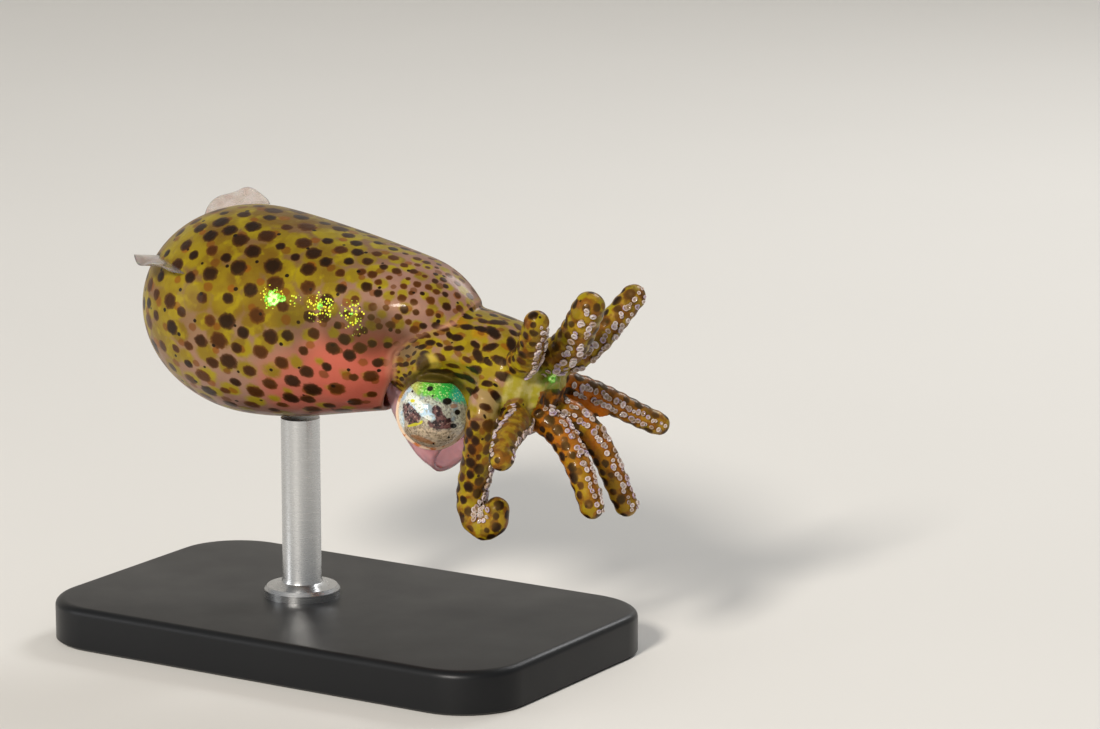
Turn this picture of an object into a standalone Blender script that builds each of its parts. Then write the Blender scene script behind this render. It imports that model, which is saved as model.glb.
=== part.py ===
# Pygmy squid, life size, as a still museum model on a plain display stand.
#
# World frame: origin at the middle of the base's underside, +X towards the arms, +Z up.
# Body frame: origin at the middle of the mantle's opening, +X forward, +Y the squid's left, +Z its back.
# Head frame: the same origin, turned a little to the squid's right and down.

import math

import bmesh
import bpy
from mathutils import Vector

MM = 0.001
GAP = 0.3 * MM                              # kept between neighbouring solids

# Pose
BODY_AT = Vector((4.6, 0.0, 14.6)) * MM
BODY_ROLL, BODY_PITCH = math.radians(16), math.radians(4)
HEAD_YAW, HEAD_PITCH = math.radians(-8), math.radians(4)

# Mantle
MANTLE_SIDES = 40
MANTLE_TAIL_X = -14.9 * MM
MANTLE_RADIUS = 4.8 * MM
MANTLE_TAIL_LENGTH = 5.8 * MM               # the rounded rear end, half an ellipse
MANTLE_TAIL_STEPS, MANTLE_BARREL_STEPS = 9, 9
MANTLE_TAPER = 1.5                          # power of the barrel's narrowing towards its margin
MARGIN_RADIUS = 3.3 * MM
MARGIN_X = 0.5 * MM                         # the middle of the margin
# How far forward the margin reaches: degrees round from the back, and x in mm
MARGIN_LINE = ((0, 2.8), (30, 2.45), (50, 1.1), (72, 0.0), (100, -0.25), (142, -1.3), (180, -1.8))
SLANT_FROM = 0.35                           # share of the length where the rings start to slant
WALL = 0.5 * MM
MARGIN_STEPS = 4                            # round the margin's edge
CAVITY_FLOOR_X = -2.7 * MM
CAVITY_RINGS = ((0.4, 1.0), (0.8, 1.0), (0.97, 0.92), (1.0, 0.7))    # share of the depth, share of the radius

# Fins
FIN_CENTRE_X = -12.0 * MM
FIN_ANGLE = math.radians(42)                # of its root, from the middle of the back
FIN_TILT = math.radians(66)                 # of its blade, from the middle of the back
FIN_SWEEP = math.radians(14)                # its rear end stands in less than its front end
FIN_LENGTH, FIN_WIDTH, FIN_THICKNESS = 3.2 * MM, 3.0 * MM, 0.5 * MM
FIN_SIDES = 32
# From its middle to its rim: shares of the width and of half the thickness
FIN_EDGE = ((0.5, 1.0), (0.86, 0.96), (0.97, 0.6), (1.0, 0.0))

# Head: x, half width, half height and height of the middle, in mm, from the neck to the mouth. It is
# smooth through the sections behind HEAD_FRONT and straight between the ones from there on.
HEAD_SIDES = 36
HEAD_FRONT = 6.30
HEAD_SECTIONS = (
    (-2.05, 1.00, 0.95, 0.15),
    (-1.85, 1.75, 1.70, 0.15),
    (-1.20, 2.20, 2.15, 0.10),
    (0.40, 2.50, 2.45, -0.15),
    (2.50, 2.75, 2.80, -0.40),
    (4.40, 2.45, 2.72, -0.18),
    (5.60, 2.30, 2.45, -0.10),
    (6.30, 2.10, 2.20, -0.15),
    (6.75, 1.65, 1.70, -0.20),
    (6.90, 1.10, 1.10, -0.20),
    (7.15, 0.80, 0.80, -0.20),
    (7.18, 0.55, 0.55, -0.20),
    (6.95, 0.25, 0.25, -0.20),
)
NECK_END_X, MOUTH_X = -2.15 * MM, 6.85 * MM

# Eyes
EYE_RADIUS = 1.56 * MM
EYE_SEGMENTS, EYE_RINGS = 22, 13
EYE_AT = Vector((2.45, 2.50, -1.50)) * MM   # the left one; the right one mirrors it

# Funnel: its middle line, then half width and half height along it
FUNNEL_LINE = ((-2.0, -0.2, -1.45), (-1.1, -0.3, -1.8), (-0.1, -0.5, -3.0), (1.0, -0.8, -4.1),
               (2.1, -1.0, -4.5))
FUNNEL_WIDE, FUNNEL_HIGH = (1.45, 1.5, 1.5, 1.3, 1.15), (0.65, 0.75, 1.05, 1.15, 1.05)
FUNNEL_WALL = 0.5 * MM
FUNNEL_BORE_DEPTH = 1.6 * MM
FUNNEL_SIDES, FUNNEL_STEPS = 20, 10

# Arms
ARM_SIDES, ARM_RINGS, ARM_STEPS = 12, 22, 120
ARM_START_X, ARM_RING_RADIUS, ARM_RING_Z = 5.5 * MM, 1.5 * MM, -0.2 * MM
ARM_TIP_SHARE = 0.80                        # the tip's radius as a share of the arm's
ARM_TIP_TURNS = (28, 52, 72)                # rings of the round tip, in degrees round it
ARM_PARTING = 0.60                          # where along its length an arm is divided
# For each arm: place on the crown, length and radius in mm, then the directions that it turns
# through, each as degrees away from the head's axis and degrees round from the back.
ARMS = {
    "arm_1_right": (22.5, 5.5, 0.62, ((30, 45), (70, 18), (70, 8))),
    "arm_2_right": (67.5, 9.0, 0.68, ((105, 85), (60, 140), (85, 195), (105, 180), (115, 165), (110, 155),
                                      (25, 165), (-45, 160), (-145, 165))),
    "arm_3_right": (112.5, 5.8, 0.62, ((5, 75), (110, 70), (40, 115))),
    "arm_4_right": (157.5, 6.8, 0.64, ((-30, 160), (60, 165), (60, 165))),
    "arm_1_left": (22.5, 6.0, 0.72, ((-5, 20), (80, 5), (62, 0))),
    "arm_2_left": (67.5, 6.0, 0.62, ((15, 85), (100, 50), (80, 65))),
    "arm_3_left": (112.5, 6.6, 0.60, ((70, 105), (55, 150), (45, 125))),
    "arm_4_left": (157.5, 7.4, 0.62, ((35, 75), (80, 190), (65, 170))),
}

# Suckers: two rows that alternate along the mouth side of each arm
SUCKER_SIDES = 8
SUCKER_RADIUS = 0.20 * MM
SUCKER_TIP_SHARE = 0.62                     # the last sucker's size as a share of the first
SUCKER_RISE, SUCKER_SINK, SUCKER_CUP = 0.13 * MM, 0.17 * MM, 0.11 * MM
SUCKER_PITCH = 0.50 * MM                    # along one row
SUCKER_ROW_ANGLE = math.radians(31)         # of each row from the middle of the mouth side
SUCKER_FOOT_SHARE = 0.9                     # its sunk end's radius as a share of its rim's

# Stand
BASE_LENGTH, BASE_WIDTH, BASE_HEIGHT = 25.0 * MM, 15.0 * MM, 2.0 * MM
BASE_CORNER, BASE_EDGE = 3.0 * MM, 0.35 * MM
BASE_CORNER_SEGMENTS, BASE_EDGE_SEGMENTS = 6, 2
ROD_RADIUS, ROD_SIDES = 0.9 * MM, 24
ROD_X = -2.4 * MM
ROD_SINK = 3.0 * MM                         # how far its uncut end reaches into the mantle


def clear_scene():
    for item in list(bpy.data.objects):
        bpy.data.objects.remove(item, do_unlink=True)


def paint(name, colour, roughness, metallic=0.0):
    """A Principled material of one colour."""
    finish = bpy.data.materials.new(name)
    finish.use_nodes = True
    shader = finish.node_tree.nodes["Principled BSDF"]
    shader.inputs["Base Color"].default_value = (*colour, 1.0)
    shader.inputs["Roughness"].default_value = roughness
    shader.inputs["Metallic"].default_value = metallic
    return finish


def mesh_object(name, bm, parent=None, at=(0, 0, 0), turn=(0, 0, 0)):
    """Closes a bmesh into a named object with its faces pointing out."""
    bmesh.ops.recalc_face_normals(bm, faces=bm.faces)
    mesh = bpy.data.meshes.new(name)
    bm.to_mesh(mesh)
    bm.free()
    item = bpy.data.objects.new(name, mesh)
    bpy.context.scene.collection.objects.link(item)
    item.parent = parent
    item.location = at
    item.rotation_euler = turn
    return item


def empty(name, at, turn, parent=None):
    item = bpy.data.objects.new(name, None)
    bpy.context.scene.collection.objects.link(item)
    item.parent = parent
    item.location = at
    item.rotation_euler = turn
    return item


def as_cutter(item):
    item.hide_render = True
    item.display_type = "WIRE"
    return item


def loft(rings, first, last):
    """A closed surface through rings of points, with a fan to one point at each end."""
    bm = bmesh.new()
    loops = [[bm.verts.new(point) for point in ring] for ring in rings]
    count = len(loops[0])
    for lower, upper in zip(loops, loops[1:]):
        for i in range(count):
            j = (i + 1) % count
            bm.faces.new((lower[i], lower[j], upper[j], upper[i]))
    for loop, point in ((loops[0], first), (loops[-1], last)):
        tip = bm.verts.new(point)
        for i in range(count):
            bm.faces.new((loop[i], loop[(i + 1) % count], tip))
    return bm


def smooth(xs, values, x):
    """A smooth curve through the values at xs, read at x."""
    last = len(xs) - 2
    i = max(0, min(last, sum(1 for known in xs[1:-1] if known <= x)))
    step = xs[i + 1] - xs[i]
    t = (x - xs[i]) / step

    def slope(k):
        low, high = max(0, k - 1), min(len(xs) - 1, k + 1)
        return (values[high] - values[low]) / (xs[high] - xs[low])

    hermite = (2 * t**3 - 3 * t**2 + 1, t**3 - 2 * t**2 + t, -2 * t**3 + 3 * t**2, t**3 - t**2)
    terms = (values[i], slope(i) * step, values[i + 1], slope(i + 1) * step)
    return sum(weight * term for weight, term in zip(hermite, terms))


def ellipse(centre, across, up, half_width, half_height, count):
    """Points round an ellipse, from its top."""
    turns = (2 * math.pi * i / count for i in range(count))
    return [centre + across * (half_width * math.sin(a)) + up * (half_height * math.cos(a)) for a in turns]


def apply_booleans(item):
    """Replaces the object's mesh by the result of its modifiers and keeps its largest closed surface."""
    bpy.context.view_layer.update()
    evaluated = item.evaluated_get(bpy.context.evaluated_depsgraph_get())
    result = bpy.data.meshes.new_from_object(evaluated)
    item.modifiers.clear()
    item.data = result
    keep_largest(item)


def keep_largest(item):
    """Deletes every closed surface of an object but its largest."""
    bm = bmesh.new()
    bm.from_mesh(item.data)
    bmesh.ops.triangulate(bm, faces=bm.faces)
    unseen = set(bm.verts)
    groups = []
    while unseen:
        group, waiting = set(), [unseen.pop()]
        while waiting:
            vertex = waiting.pop()
            group.add(vertex)
            for edge in vertex.link_edges:
                other = edge.other_vert(vertex)
                if other in unseen:
                    unseen.remove(other)
                    waiting.append(other)
        groups.append(group)
    largest = max(groups, key=len)
    strays = [vertex for vertex in bm.verts if vertex not in largest]
    bmesh.ops.delete(bm, geom=strays, context="VERTS")
    bm.to_mesh(item.data)
    bm.free()


def cut(item, cutter):
    boolean = item.modifiers.new("cut", "BOOLEAN")
    boolean.operation = "DIFFERENCE"
    boolean.solver = "EXACT"
    boolean.object = cutter


def fuse(item, pieces):
    """Joins closed pieces to an object by one union."""
    group = bpy.data.collections.new(item.name + "_pieces")
    for piece in pieces:
        group.objects.link(piece)
    boolean = item.modifiers.new("fuse", "BOOLEAN")
    boolean.operation = "UNION"
    boolean.solver = "EXACT"
    boolean.operand_type = "COLLECTION"
    boolean.collection = group
    apply_booleans(item)
    for piece in pieces:
        bpy.data.objects.remove(piece, do_unlink=True)
    bpy.data.collections.remove(group)


def finish_object(item, material):
    item.data.materials.clear()
    item.data.materials.append(material)
    item.data.shade_smooth()
    item.data.set_sharp_from_angle(angle=math.radians(40))


def margin_x(angle):
    """How far forward the mantle's margin reaches, at an angle round from the back."""
    degrees = abs(math.degrees(math.remainder(angle, 2 * math.pi)))
    turns, reach = zip(*MARGIN_LINE)
    return smooth(turns, reach, degrees) * MM


def mantle_radius(distance):
    """The mantle's radius at a distance forward of its tail."""
    if distance < MANTLE_TAIL_LENGTH:
        return MANTLE_RADIUS * math.sqrt(1 - (1 - distance / MANTLE_TAIL_LENGTH) ** 2)
    share = (distance - MANTLE_TAIL_LENGTH) / (MARGIN_X - MANTLE_TAIL_X - MANTLE_TAIL_LENGTH)
    return MANTLE_RADIUS - (MANTLE_RADIUS - MARGIN_RADIUS) * share**MANTLE_TAPER


def mantle_ring(distance, radius, back=0.0):
    """A ring of the mantle, slanted more towards the margin; back sets it behind the outer one."""
    length = MARGIN_X - MANTLE_TAIL_X
    share = max(0.0, (distance / length - SLANT_FROM) / (1 - SLANT_FROM))
    weight = share * share * (3 - 2 * share)
    points = []
    for i in range(MANTLE_SIDES):
        angle = 2 * math.pi * i / MANTLE_SIDES
        x = MANTLE_TAIL_X + distance + (margin_x(angle) - MARGIN_X) * weight - back
        points.append(Vector((x, radius * math.sin(angle), radius * math.cos(angle))))
    return points


def cavity_ring(share, radius):
    """A ring of the mantle's inside, between the slanted margin and the upright floor."""
    points = []
    for i in range(MANTLE_SIDES):
        angle = 2 * math.pi * i / MANTLE_SIDES
        x = margin_x(angle) + (CAVITY_FLOOR_X - margin_x(angle)) * share
        points.append(Vector((x, radius * math.sin(angle), radius * math.cos(angle))))
    return points


def mantle_mesh(grow=0.0, hollow=True):
    """The mantle: a round-ended barrel with a slanted, open front; grow makes a larger plain copy."""
    length = MARGIN_X - MANTLE_TAIL_X
    quarter = math.pi / 2 / MANTLE_TAIL_STEPS
    distances = [MANTLE_TAIL_LENGTH * (1 - math.cos(quarter * k)) for k in range(1, MANTLE_TAIL_STEPS)]
    step = (length - MANTLE_TAIL_LENGTH) / MANTLE_BARREL_STEPS
    distances += [MANTLE_TAIL_LENGTH + step * k for k in range(MANTLE_BARREL_STEPS)]
    rings = [mantle_ring(d, mantle_radius(d) + grow) for d in distances]
    tail = Vector((MANTLE_TAIL_X - grow, 0, 0))
    if not hollow:
        rings.append(mantle_ring(length, MARGIN_RADIUS + grow, -grow))
        return loft(rings, tail, Vector((MARGIN_X + grow, 0, 0)))
    lip = WALL / 2
    for k in range(MARGIN_STEPS + 1):
        turn = math.pi * k / MARGIN_STEPS
        radius = MARGIN_RADIUS - lip * (1 - math.cos(turn))
        rings.append(mantle_ring(length, radius, lip * (1 - math.sin(turn))))
    rings += [cavity_ring(depth, (MARGIN_RADIUS - WALL) * width) for depth, width in CAVITY_RINGS]
    return loft(rings, tail, Vector((CAVITY_FLOOR_X, 0, 0)))


def head_mesh(grow=0.0):
    """The head: smooth through its sections, with the lips standing in the middle of the arm crown."""
    front = [section[0] for section in HEAD_SECTIONS].index(HEAD_FRONT)
    xs, *columns = (list(column) for column in zip(*HEAD_SECTIONS[: front + 1]))
    stations = []
    for k in range(front):
        for x in (xs[k], (xs[k] + xs[k + 1]) / 2):
            stations.append((x, *(smooth(xs, column, x) for column in columns)))
    stations += HEAD_SECTIONS[front:]
    push = Vector((grow, 0, 0))
    rings = []
    for k, (x, half_width, half_height, z) in enumerate(stations):
        shift = -push if k == 0 else push if k > 2 * front else Vector()
        centre = Vector((x * MM, 0, z * MM)) + shift
        rings.append(ellipse(centre, Vector((0, 1, 0)), Vector((0, 0, 1)),
                             half_width * MM + grow, half_height * MM + grow, HEAD_SIDES))
    neck_z, mouth_z = HEAD_SECTIONS[0][3] * MM, HEAD_SECTIONS[-1][3] * MM
    return loft(rings, Vector((NECK_END_X, 0, neck_z)) - push, Vector((MOUTH_X, 0, mouth_z)) + push)


def eye_mesh(radius):
    bm = bmesh.new()
    bmesh.ops.create_uvsphere(bm, u_segments=EYE_SEGMENTS, v_segments=EYE_RINGS, radius=radius)
    return bm


def funnel_mesh(grow=0.0):
    """The funnel: a short flattened tube that leaves the mantle under the head, open at its front."""
    line = [Vector(point) * MM for point in FUNNEL_LINE]
    lengths = [0.0]
    for a, b in zip(line, line[1:]):
        lengths.append(lengths[-1] + (b - a).length)

    def at(distance):
        point = Vector([smooth(lengths, [p[axis] for p in line], distance) for axis in range(3)])
        return point, smooth(lengths, FUNNEL_WIDE, distance) * MM, smooth(lengths, FUNNEL_HIGH, distance) * MM

    def ring(distance, inset):
        point, half_width, half_height = at(distance)
        ahead = (at(min(distance + 0.1 * MM, lengths[-1]))[0] - at(distance - 0.1 * MM)[0]).normalized()
        across = Vector((0, 1, 0))
        across = (across - ahead * across.dot(ahead)).normalized()
        up = ahead.cross(across)
        return ellipse(point, across, up, half_width - inset, half_height - inset, FUNNEL_SIDES), point, ahead

    rings = [ring(lengths[-1] * k / FUNNEL_STEPS, -grow)[0] for k in range(FUNNEL_STEPS + 1)]
    root, ahead = ring(0.0, 0.0)[1:]
    first = root - ahead * grow
    if grow:
        rings[0] = [point - ahead * grow for point in rings[0]]
        mouth, ahead = ring(lengths[-1], 0.0)[1:]
        rings.append([point + ahead * grow for point in rings[-1]])
        return loft(rings, first, mouth + ahead * grow)
    for depth in (0.0, 0.5, 1.0):
        rings.append(ring(lengths[-1] - FUNNEL_BORE_DEPTH * depth, FUNNEL_WALL)[0])
    return loft(rings, first, ring(lengths[-1] - FUNNEL_BORE_DEPTH * 1.1, FUNNEL_WALL)[1])


def fin_mesh():
    """A round, flat fin with a soft edge, lying in its own XY plane."""
    underside = [(share, -level) for share, level in reversed(FIN_EDGE[:-1])]
    rings = []
    for share, level in (*FIN_EDGE, *underside):
        centre = Vector((0, 0, level * FIN_THICKNESS / 2))
        rings.append(ellipse(centre, Vector((1, 0, 0)), Vector((0, 1, 0)),
                             share * FIN_LENGTH / 2, share * FIN_WIDTH / 2, FIN_SIDES))
    half = Vector((0, 0, FIN_THICKNESS / 2))
    return loft(rings, half, -half)


def direction(away, round_from_back, side):
    """A direction in the head frame, away from its axis and round from the squid's back."""
    a, b = math.radians(away), math.radians(round_from_back)
    return Vector((math.cos(a), side * math.sin(a) * math.sin(b), math.sin(a) * math.cos(b)))


class Arm:
    """One arm's middle line, its oral side along it and its radius."""

    def __init__(self, name):
        place, length, radius, turns = ARMS[name]
        side = -1 if name.endswith("right") else 1
        self.length, self.radius = length * MM, radius * MM
        self.turns = [direction(away, angle, side) for away, angle in turns]
        outward = direction(90, place, side)
        start = Vector((ARM_START_X, 0, ARM_RING_Z)) + outward * ARM_RING_RADIUS
        self.points, self.oral = [start], []
        normal = Vector((1, 0, 0)) - outward
        for k in range(ARM_STEPS):
            heading = self.heading((k + 0.5) / ARM_STEPS)
            normal = (normal - heading * normal.dot(heading)).normalized()
            self.oral.append(normal.copy())
            self.points.append(self.points[-1] + heading * (self.length / ARM_STEPS))
        self.oral.append(normal.copy())

    def heading(self, share):
        """The arm's direction at a share of its length: a smooth blend of its turns."""
        degree = len(self.turns) - 1
        total = Vector()
        for i, turn in enumerate(self.turns):
            total += turn * (math.comb(degree, i) * (1 - share) ** (degree - i) * share**i)
        return total.normalized()

    def frame(self, share):
        """The middle point, direction, oral side and sideways direction at a share of the length."""
        index = min(ARM_STEPS - 1, int(share * ARM_STEPS))
        part = share * ARM_STEPS - index
        point = self.points[index].lerp(self.points[index + 1], part)
        heading = self.heading(share)
        oral = self.oral[index].lerp(self.oral[index + 1], part)
        oral = (oral - heading * oral.dot(heading)).normalized()
        return point, heading, oral, heading.cross(oral)

    def thickness(self, share):
        """The arm's radius, which falls slowly and closes in a round tip."""
        plain = self.radius * (1 - (1 - ARM_TIP_SHARE) * share**1.5)
        left = (1 - share) * self.length
        if left >= plain:
            return plain
        return math.sqrt(max(0.0, plain**2 - (plain - left) ** 2))


def arm_length_mesh(arm, start, end):
    """The stretch of an arm between two shares of its length."""
    tip_share = arm.radius * ARM_TIP_SHARE / arm.length
    straight_end = min(end, 1 - tip_share)
    count = max(4, round(ARM_RINGS * (straight_end - start)))
    shares = [start + (straight_end - start) * k / count for k in range(count + 1)]
    if end == 1.0:
        shares += [1 - tip_share * (1 - math.sin(math.radians(angle))) for angle in ARM_TIP_TURNS]
    rings = []
    for share in shares:
        point, heading, oral, sideways = arm.frame(share)
        radius = arm.thickness(share)
        rings.append(ellipse(point, sideways, oral, radius, radius, ARM_SIDES))
    return loft(rings, arm.frame(start)[0], arm.frame(end)[0])


def sucker_at(arm, share, row):
    """A small cup on one row of an arm: a short flared stub, sunk in the arm, with a dimple in its top."""
    point, heading, oral, sideways = arm.frame(share)
    out = oral * math.cos(SUCKER_ROW_ANGLE) + sideways * (row * math.sin(SUCKER_ROW_ANGLE))
    across = out.cross(heading)
    size = 1 - (1 - SUCKER_TIP_SHARE) * share**2
    radius = SUCKER_RADIUS * size
    foot = point + out * arm.thickness(share)
    narrow = radius * SUCKER_FOOT_SHARE
    rings = [ellipse(foot - out * SUCKER_SINK, across, heading, narrow, narrow, SUCKER_SIDES),
             ellipse(foot + out * SUCKER_RISE * size, across, heading, radius, radius, SUCKER_SIDES)]
    dimple = foot + out * (SUCKER_RISE - SUCKER_CUP) * size
    return loft(rings, foot - out * SUCKER_SINK, dimple), foot


def suckers_on(arm, name, start, end, head, head_room):
    """The suckers between two shares of an arm's length, clear of its ends and of the head."""
    room = SUCKER_RADIUS * 1.3 / arm.length
    last = 1 - 0.75 * arm.radius * ARM_TIP_SHARE / arm.length
    pieces = []
    for k in range(int(2 * arm.length / SUCKER_PITCH)):
        share = last - k * SUCKER_PITCH / 2 / arm.length
        if not start + room < share < (end - room if end < 1 else 1):
            continue
        bm, foot = sucker_at(arm, share, 1 if k % 2 else -1)
        near = head_room.closest_point_on_mesh(foot)[1]
        if start == 0 and (near - foot).length < SUCKER_RADIUS * 1.5 or inside(head_room, foot):
            bm.free()
            continue
        pieces.append(mesh_object(f"{name}_sucker_{k}", bm, head))
    return pieces


def inside(item, point):
    """Whether a point lies inside a closed object."""
    found, near, normal, face = item.closest_point_on_mesh(point)
    return found and (point - near).dot(normal) < 0


def build_flesh(body, head):
    """The mantle, fins, head, eyes and funnel."""
    flesh = paint("spotted_skin", (0.33, 0.22, 0.10), 0.35)
    clear = paint("clear_skin", (0.62, 0.45, 0.40), 0.3)
    silver = paint("eye_silver", (0.55, 0.60, 0.58), 0.2, 0.4)

    mantle = mesh_object("mantle", mantle_mesh(), body)
    finish_object(mantle, flesh)
    mantle_room = as_cutter(mesh_object("mantle_room", mantle_mesh(GAP, False), body))

    for side, word in ((1, "left"), (-1, "right")):
        turn = (side * (math.pi / 2 - FIN_TILT), 0, side * FIN_SWEEP)
        radius = mantle_radius(FIN_CENTRE_X - MANTLE_TAIL_X)
        at = Vector((FIN_CENTRE_X, side * radius * math.sin(FIN_ANGLE), radius * math.cos(FIN_ANGLE)))
        fin = mesh_object("fin_" + word, fin_mesh(), body, at, turn)
        cut(fin, mantle_room)
        apply_booleans(fin)
        finish_object(fin, clear)

    funnel = mesh_object("funnel", funnel_mesh(), head)
    finish_object(funnel, clear)
    funnel_room = as_cutter(mesh_object("funnel_room", funnel_mesh(GAP), head))

    head_solid = mesh_object("head", head_mesh(), head)
    cut(head_solid, funnel_room)
    for side, word in ((1, "left"), (-1, "right")):
        at = Vector((EYE_AT.x, side * EYE_AT.y, EYE_AT.z))
        turn = (math.radians(-side * 90), 0, 0)
        eye = mesh_object("eye_" + word, eye_mesh(EYE_RADIUS), head, at, turn)
        finish_object(eye, silver)
        socket = as_cutter(mesh_object("socket_" + word, eye_mesh(EYE_RADIUS + GAP), head, at, turn))
        cut(head_solid, socket)
    apply_booleans(head_solid)
    finish_object(head_solid, flesh)


def build_arms(head):
    """Eight arms, each in two lengths that start clear of the head."""
    flesh = paint("arm_skin", (0.40, 0.26, 0.08), 0.35)
    head_room = as_cutter(mesh_object("head_room", head_mesh(GAP), head))
    for name in ARMS:
        arm = Arm(name)
        half_gap = GAP / 2 / arm.length
        lengths = {"_base": (0.0, ARM_PARTING - half_gap), "_tip": (ARM_PARTING + half_gap, 1.0)}
        for suffix, (start, end) in lengths.items():
            item = mesh_object(name + suffix, arm_length_mesh(arm, start, end), head)
            fuse(item, suckers_on(arm, name + suffix, start, end, head, head_room))
            if suffix == "_base":
                cut(item, head_room)
                apply_booleans(item)
            finish_object(item, flesh)


def build_stand(body):
    """A flat rounded base and one rod up to the belly."""
    satin = paint("satin_black", (0.03, 0.03, 0.032), 0.4)
    steel = paint("brushed_steel", (0.55, 0.55, 0.56), 0.3, 1.0)
    bm = bmesh.new()
    bmesh.ops.create_cube(bm, size=1.0)
    bmesh.ops.scale(bm, vec=(BASE_LENGTH, BASE_WIDTH, BASE_HEIGHT), verts=bm.verts)
    corners = [edge for edge in bm.edges if abs(edge.verts[0].co.z - edge.verts[1].co.z) > BASE_HEIGHT / 2]
    bmesh.ops.bevel(bm, geom=corners, offset=BASE_CORNER, segments=BASE_CORNER_SEGMENTS, profile=0.5,
                    affect="EDGES")
    rims = [edge for edge in bm.edges if edge.verts[0].co.z > 0 and edge.verts[1].co.z > 0]
    bmesh.ops.bevel(bm, geom=rims, offset=BASE_EDGE, segments=BASE_EDGE_SEGMENTS, profile=0.5, affect="EDGES")
    base = mesh_object("stand_base", bm, at=(0, 0, BASE_HEIGHT / 2))
    finish_object(base, satin)

    bottom = BASE_HEIGHT + GAP
    top = BODY_AT.z - MANTLE_RADIUS + ROD_SINK
    bm = bmesh.new()
    bmesh.ops.create_cone(bm, cap_ends=True, segments=ROD_SIDES, radius1=ROD_RADIUS, radius2=ROD_RADIUS,
                          depth=top - bottom)
    rod = mesh_object("stand_rod", bm, at=(ROD_X, 0, (top + bottom) / 2))
    cut(rod, as_cutter(mesh_object("rod_top", mantle_mesh(GAP, False), body)))
    apply_booleans(rod)
    finish_object(rod, steel)


def main():
    clear_scene()
    body = empty("body_pose", BODY_AT, (BODY_ROLL, BODY_PITCH, 0))
    head = empty("head_pose", (0, 0, 0), (0, HEAD_PITCH, HEAD_YAW), body)
    build_flesh(body, head)
    build_arms(head)
    build_stand(body)


main()
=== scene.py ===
import math

import bmesh
import bpy
import numpy as np
from mathutils import Euler, Matrix, Vector
from mathutils.kdtree import KDTree


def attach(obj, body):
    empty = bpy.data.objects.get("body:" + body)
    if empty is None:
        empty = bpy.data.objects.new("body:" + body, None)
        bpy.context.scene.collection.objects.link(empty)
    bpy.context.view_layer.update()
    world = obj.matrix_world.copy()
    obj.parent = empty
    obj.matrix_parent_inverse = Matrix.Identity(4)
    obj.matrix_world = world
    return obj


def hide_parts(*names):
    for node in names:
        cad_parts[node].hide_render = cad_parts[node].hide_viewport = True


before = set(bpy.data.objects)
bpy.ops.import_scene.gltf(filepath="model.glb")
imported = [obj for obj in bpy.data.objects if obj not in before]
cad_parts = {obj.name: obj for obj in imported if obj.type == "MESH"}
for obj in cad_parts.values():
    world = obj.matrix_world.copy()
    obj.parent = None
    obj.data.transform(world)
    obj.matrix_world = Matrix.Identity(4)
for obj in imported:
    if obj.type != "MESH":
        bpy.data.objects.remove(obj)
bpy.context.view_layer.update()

mm = 0.001
print("frame loaded")

# How the squid hangs on its rod, in mm and degrees.
# Body axes: x forward, y the squid's left, z its back. The head turns a little right and down.
pose = {"bodyAt": (4.6, 0.0, 14.6), "roll": 16, "pitch": 4, "headYaw": -8, "headPitch": 4}


def turnMatrix(x, y, z):
    return Euler((math.radians(x), math.radians(y), math.radians(z))).to_matrix()


bodyTurn = np.array(turnMatrix(pose["roll"], pose["pitch"], 0))
headTurn = bodyTurn @ np.array(turnMatrix(0, pose["headPitch"], pose["headYaw"]))
bodyAt = np.array(pose["bodyAt"])


def toWorld(points, turn):                      # mm in a body part's axes to metres in the world
    return (np.asarray(points) @ turn.T + bodyAt) * mm


def toLocal(points, turn):                      # and back
    return (np.asarray(points) / mm - bodyAt) @ turn


# mesh helpers

def smoothCurve(xs, values, x):                 # the same smooth curve through stations as in the solids
    last = len(xs) - 2
    i = max(0, min(last, sum(1 for known in xs[1:-1] if known <= x)))
    step = xs[i + 1] - xs[i]
    t = (x - xs[i]) / step

    def slope(k):
        low, high = max(0, k - 1), min(len(xs) - 1, k + 1)
        return (values[high] - values[low]) / (xs[high] - xs[low])

    return ((2 * t**3 - 3 * t**2 + 1) * values[i] + (t**3 - 2 * t**2 + t) * slope(i) * step
            + (-2 * t**3 + 3 * t**2) * values[i + 1] + (t**3 - t**2) * slope(i + 1) * step)


def smoothStep(x):
    x = np.clip(x, 0, 1)
    return x * x * (3 - 2 * x)


def ringPoints(centre, across, up, halfWidth, halfHeight, count):
    a = np.arange(count) * (2 * math.pi / count)
    return (np.asarray(centre) + np.outer(np.sin(a) * halfWidth, across) + np.outer(np.cos(a) * halfHeight, up))


def loftRings(rings, first, last):              # a closed skin over rings, with a point at each end
    count = len(rings[0])
    verts = np.vstack([*rings, [first], [last]])
    faces = []
    for k in range(len(rings) - 1):
        a, b = k * count, (k + 1) * count
        faces += [(a + i, a + (i + 1) % count, b + (i + 1) % count, b + i) for i in range(count)]
    top, firstIndex = (len(rings) - 1) * count, len(rings) * count
    faces += [((i + 1) % count, i, firstIndex) for i in range(count)]
    faces += [(top + i, top + (i + 1) % count, firstIndex + 1) for i in range(count)]
    return verts, faces


def loftLoop(rings):                            # a closed skin over a loop of rings, like a tyre
    count, total = len(rings[0]), len(rings)
    faces = []
    for k in range(total):
        a, b = k * count, (k + 1) % total * count
        faces += [(a + i, a + (i + 1) % count, b + (i + 1) % count, b + i) for i in range(count)]
    return np.vstack(rings), faces


def placed(shell, turn):                        # a shell in a body part's axes, to metres in the world
    return toWorld(shell[0], turn), shell[1]


def joined(parts):
    verts, faces, base = [], [], 0
    for v, f in parts:
        verts.append(np.asarray(v))
        faces += [tuple(i + base for i in face) for face in f]
        base += len(v)
    return np.vstack(verts), faces


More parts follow.
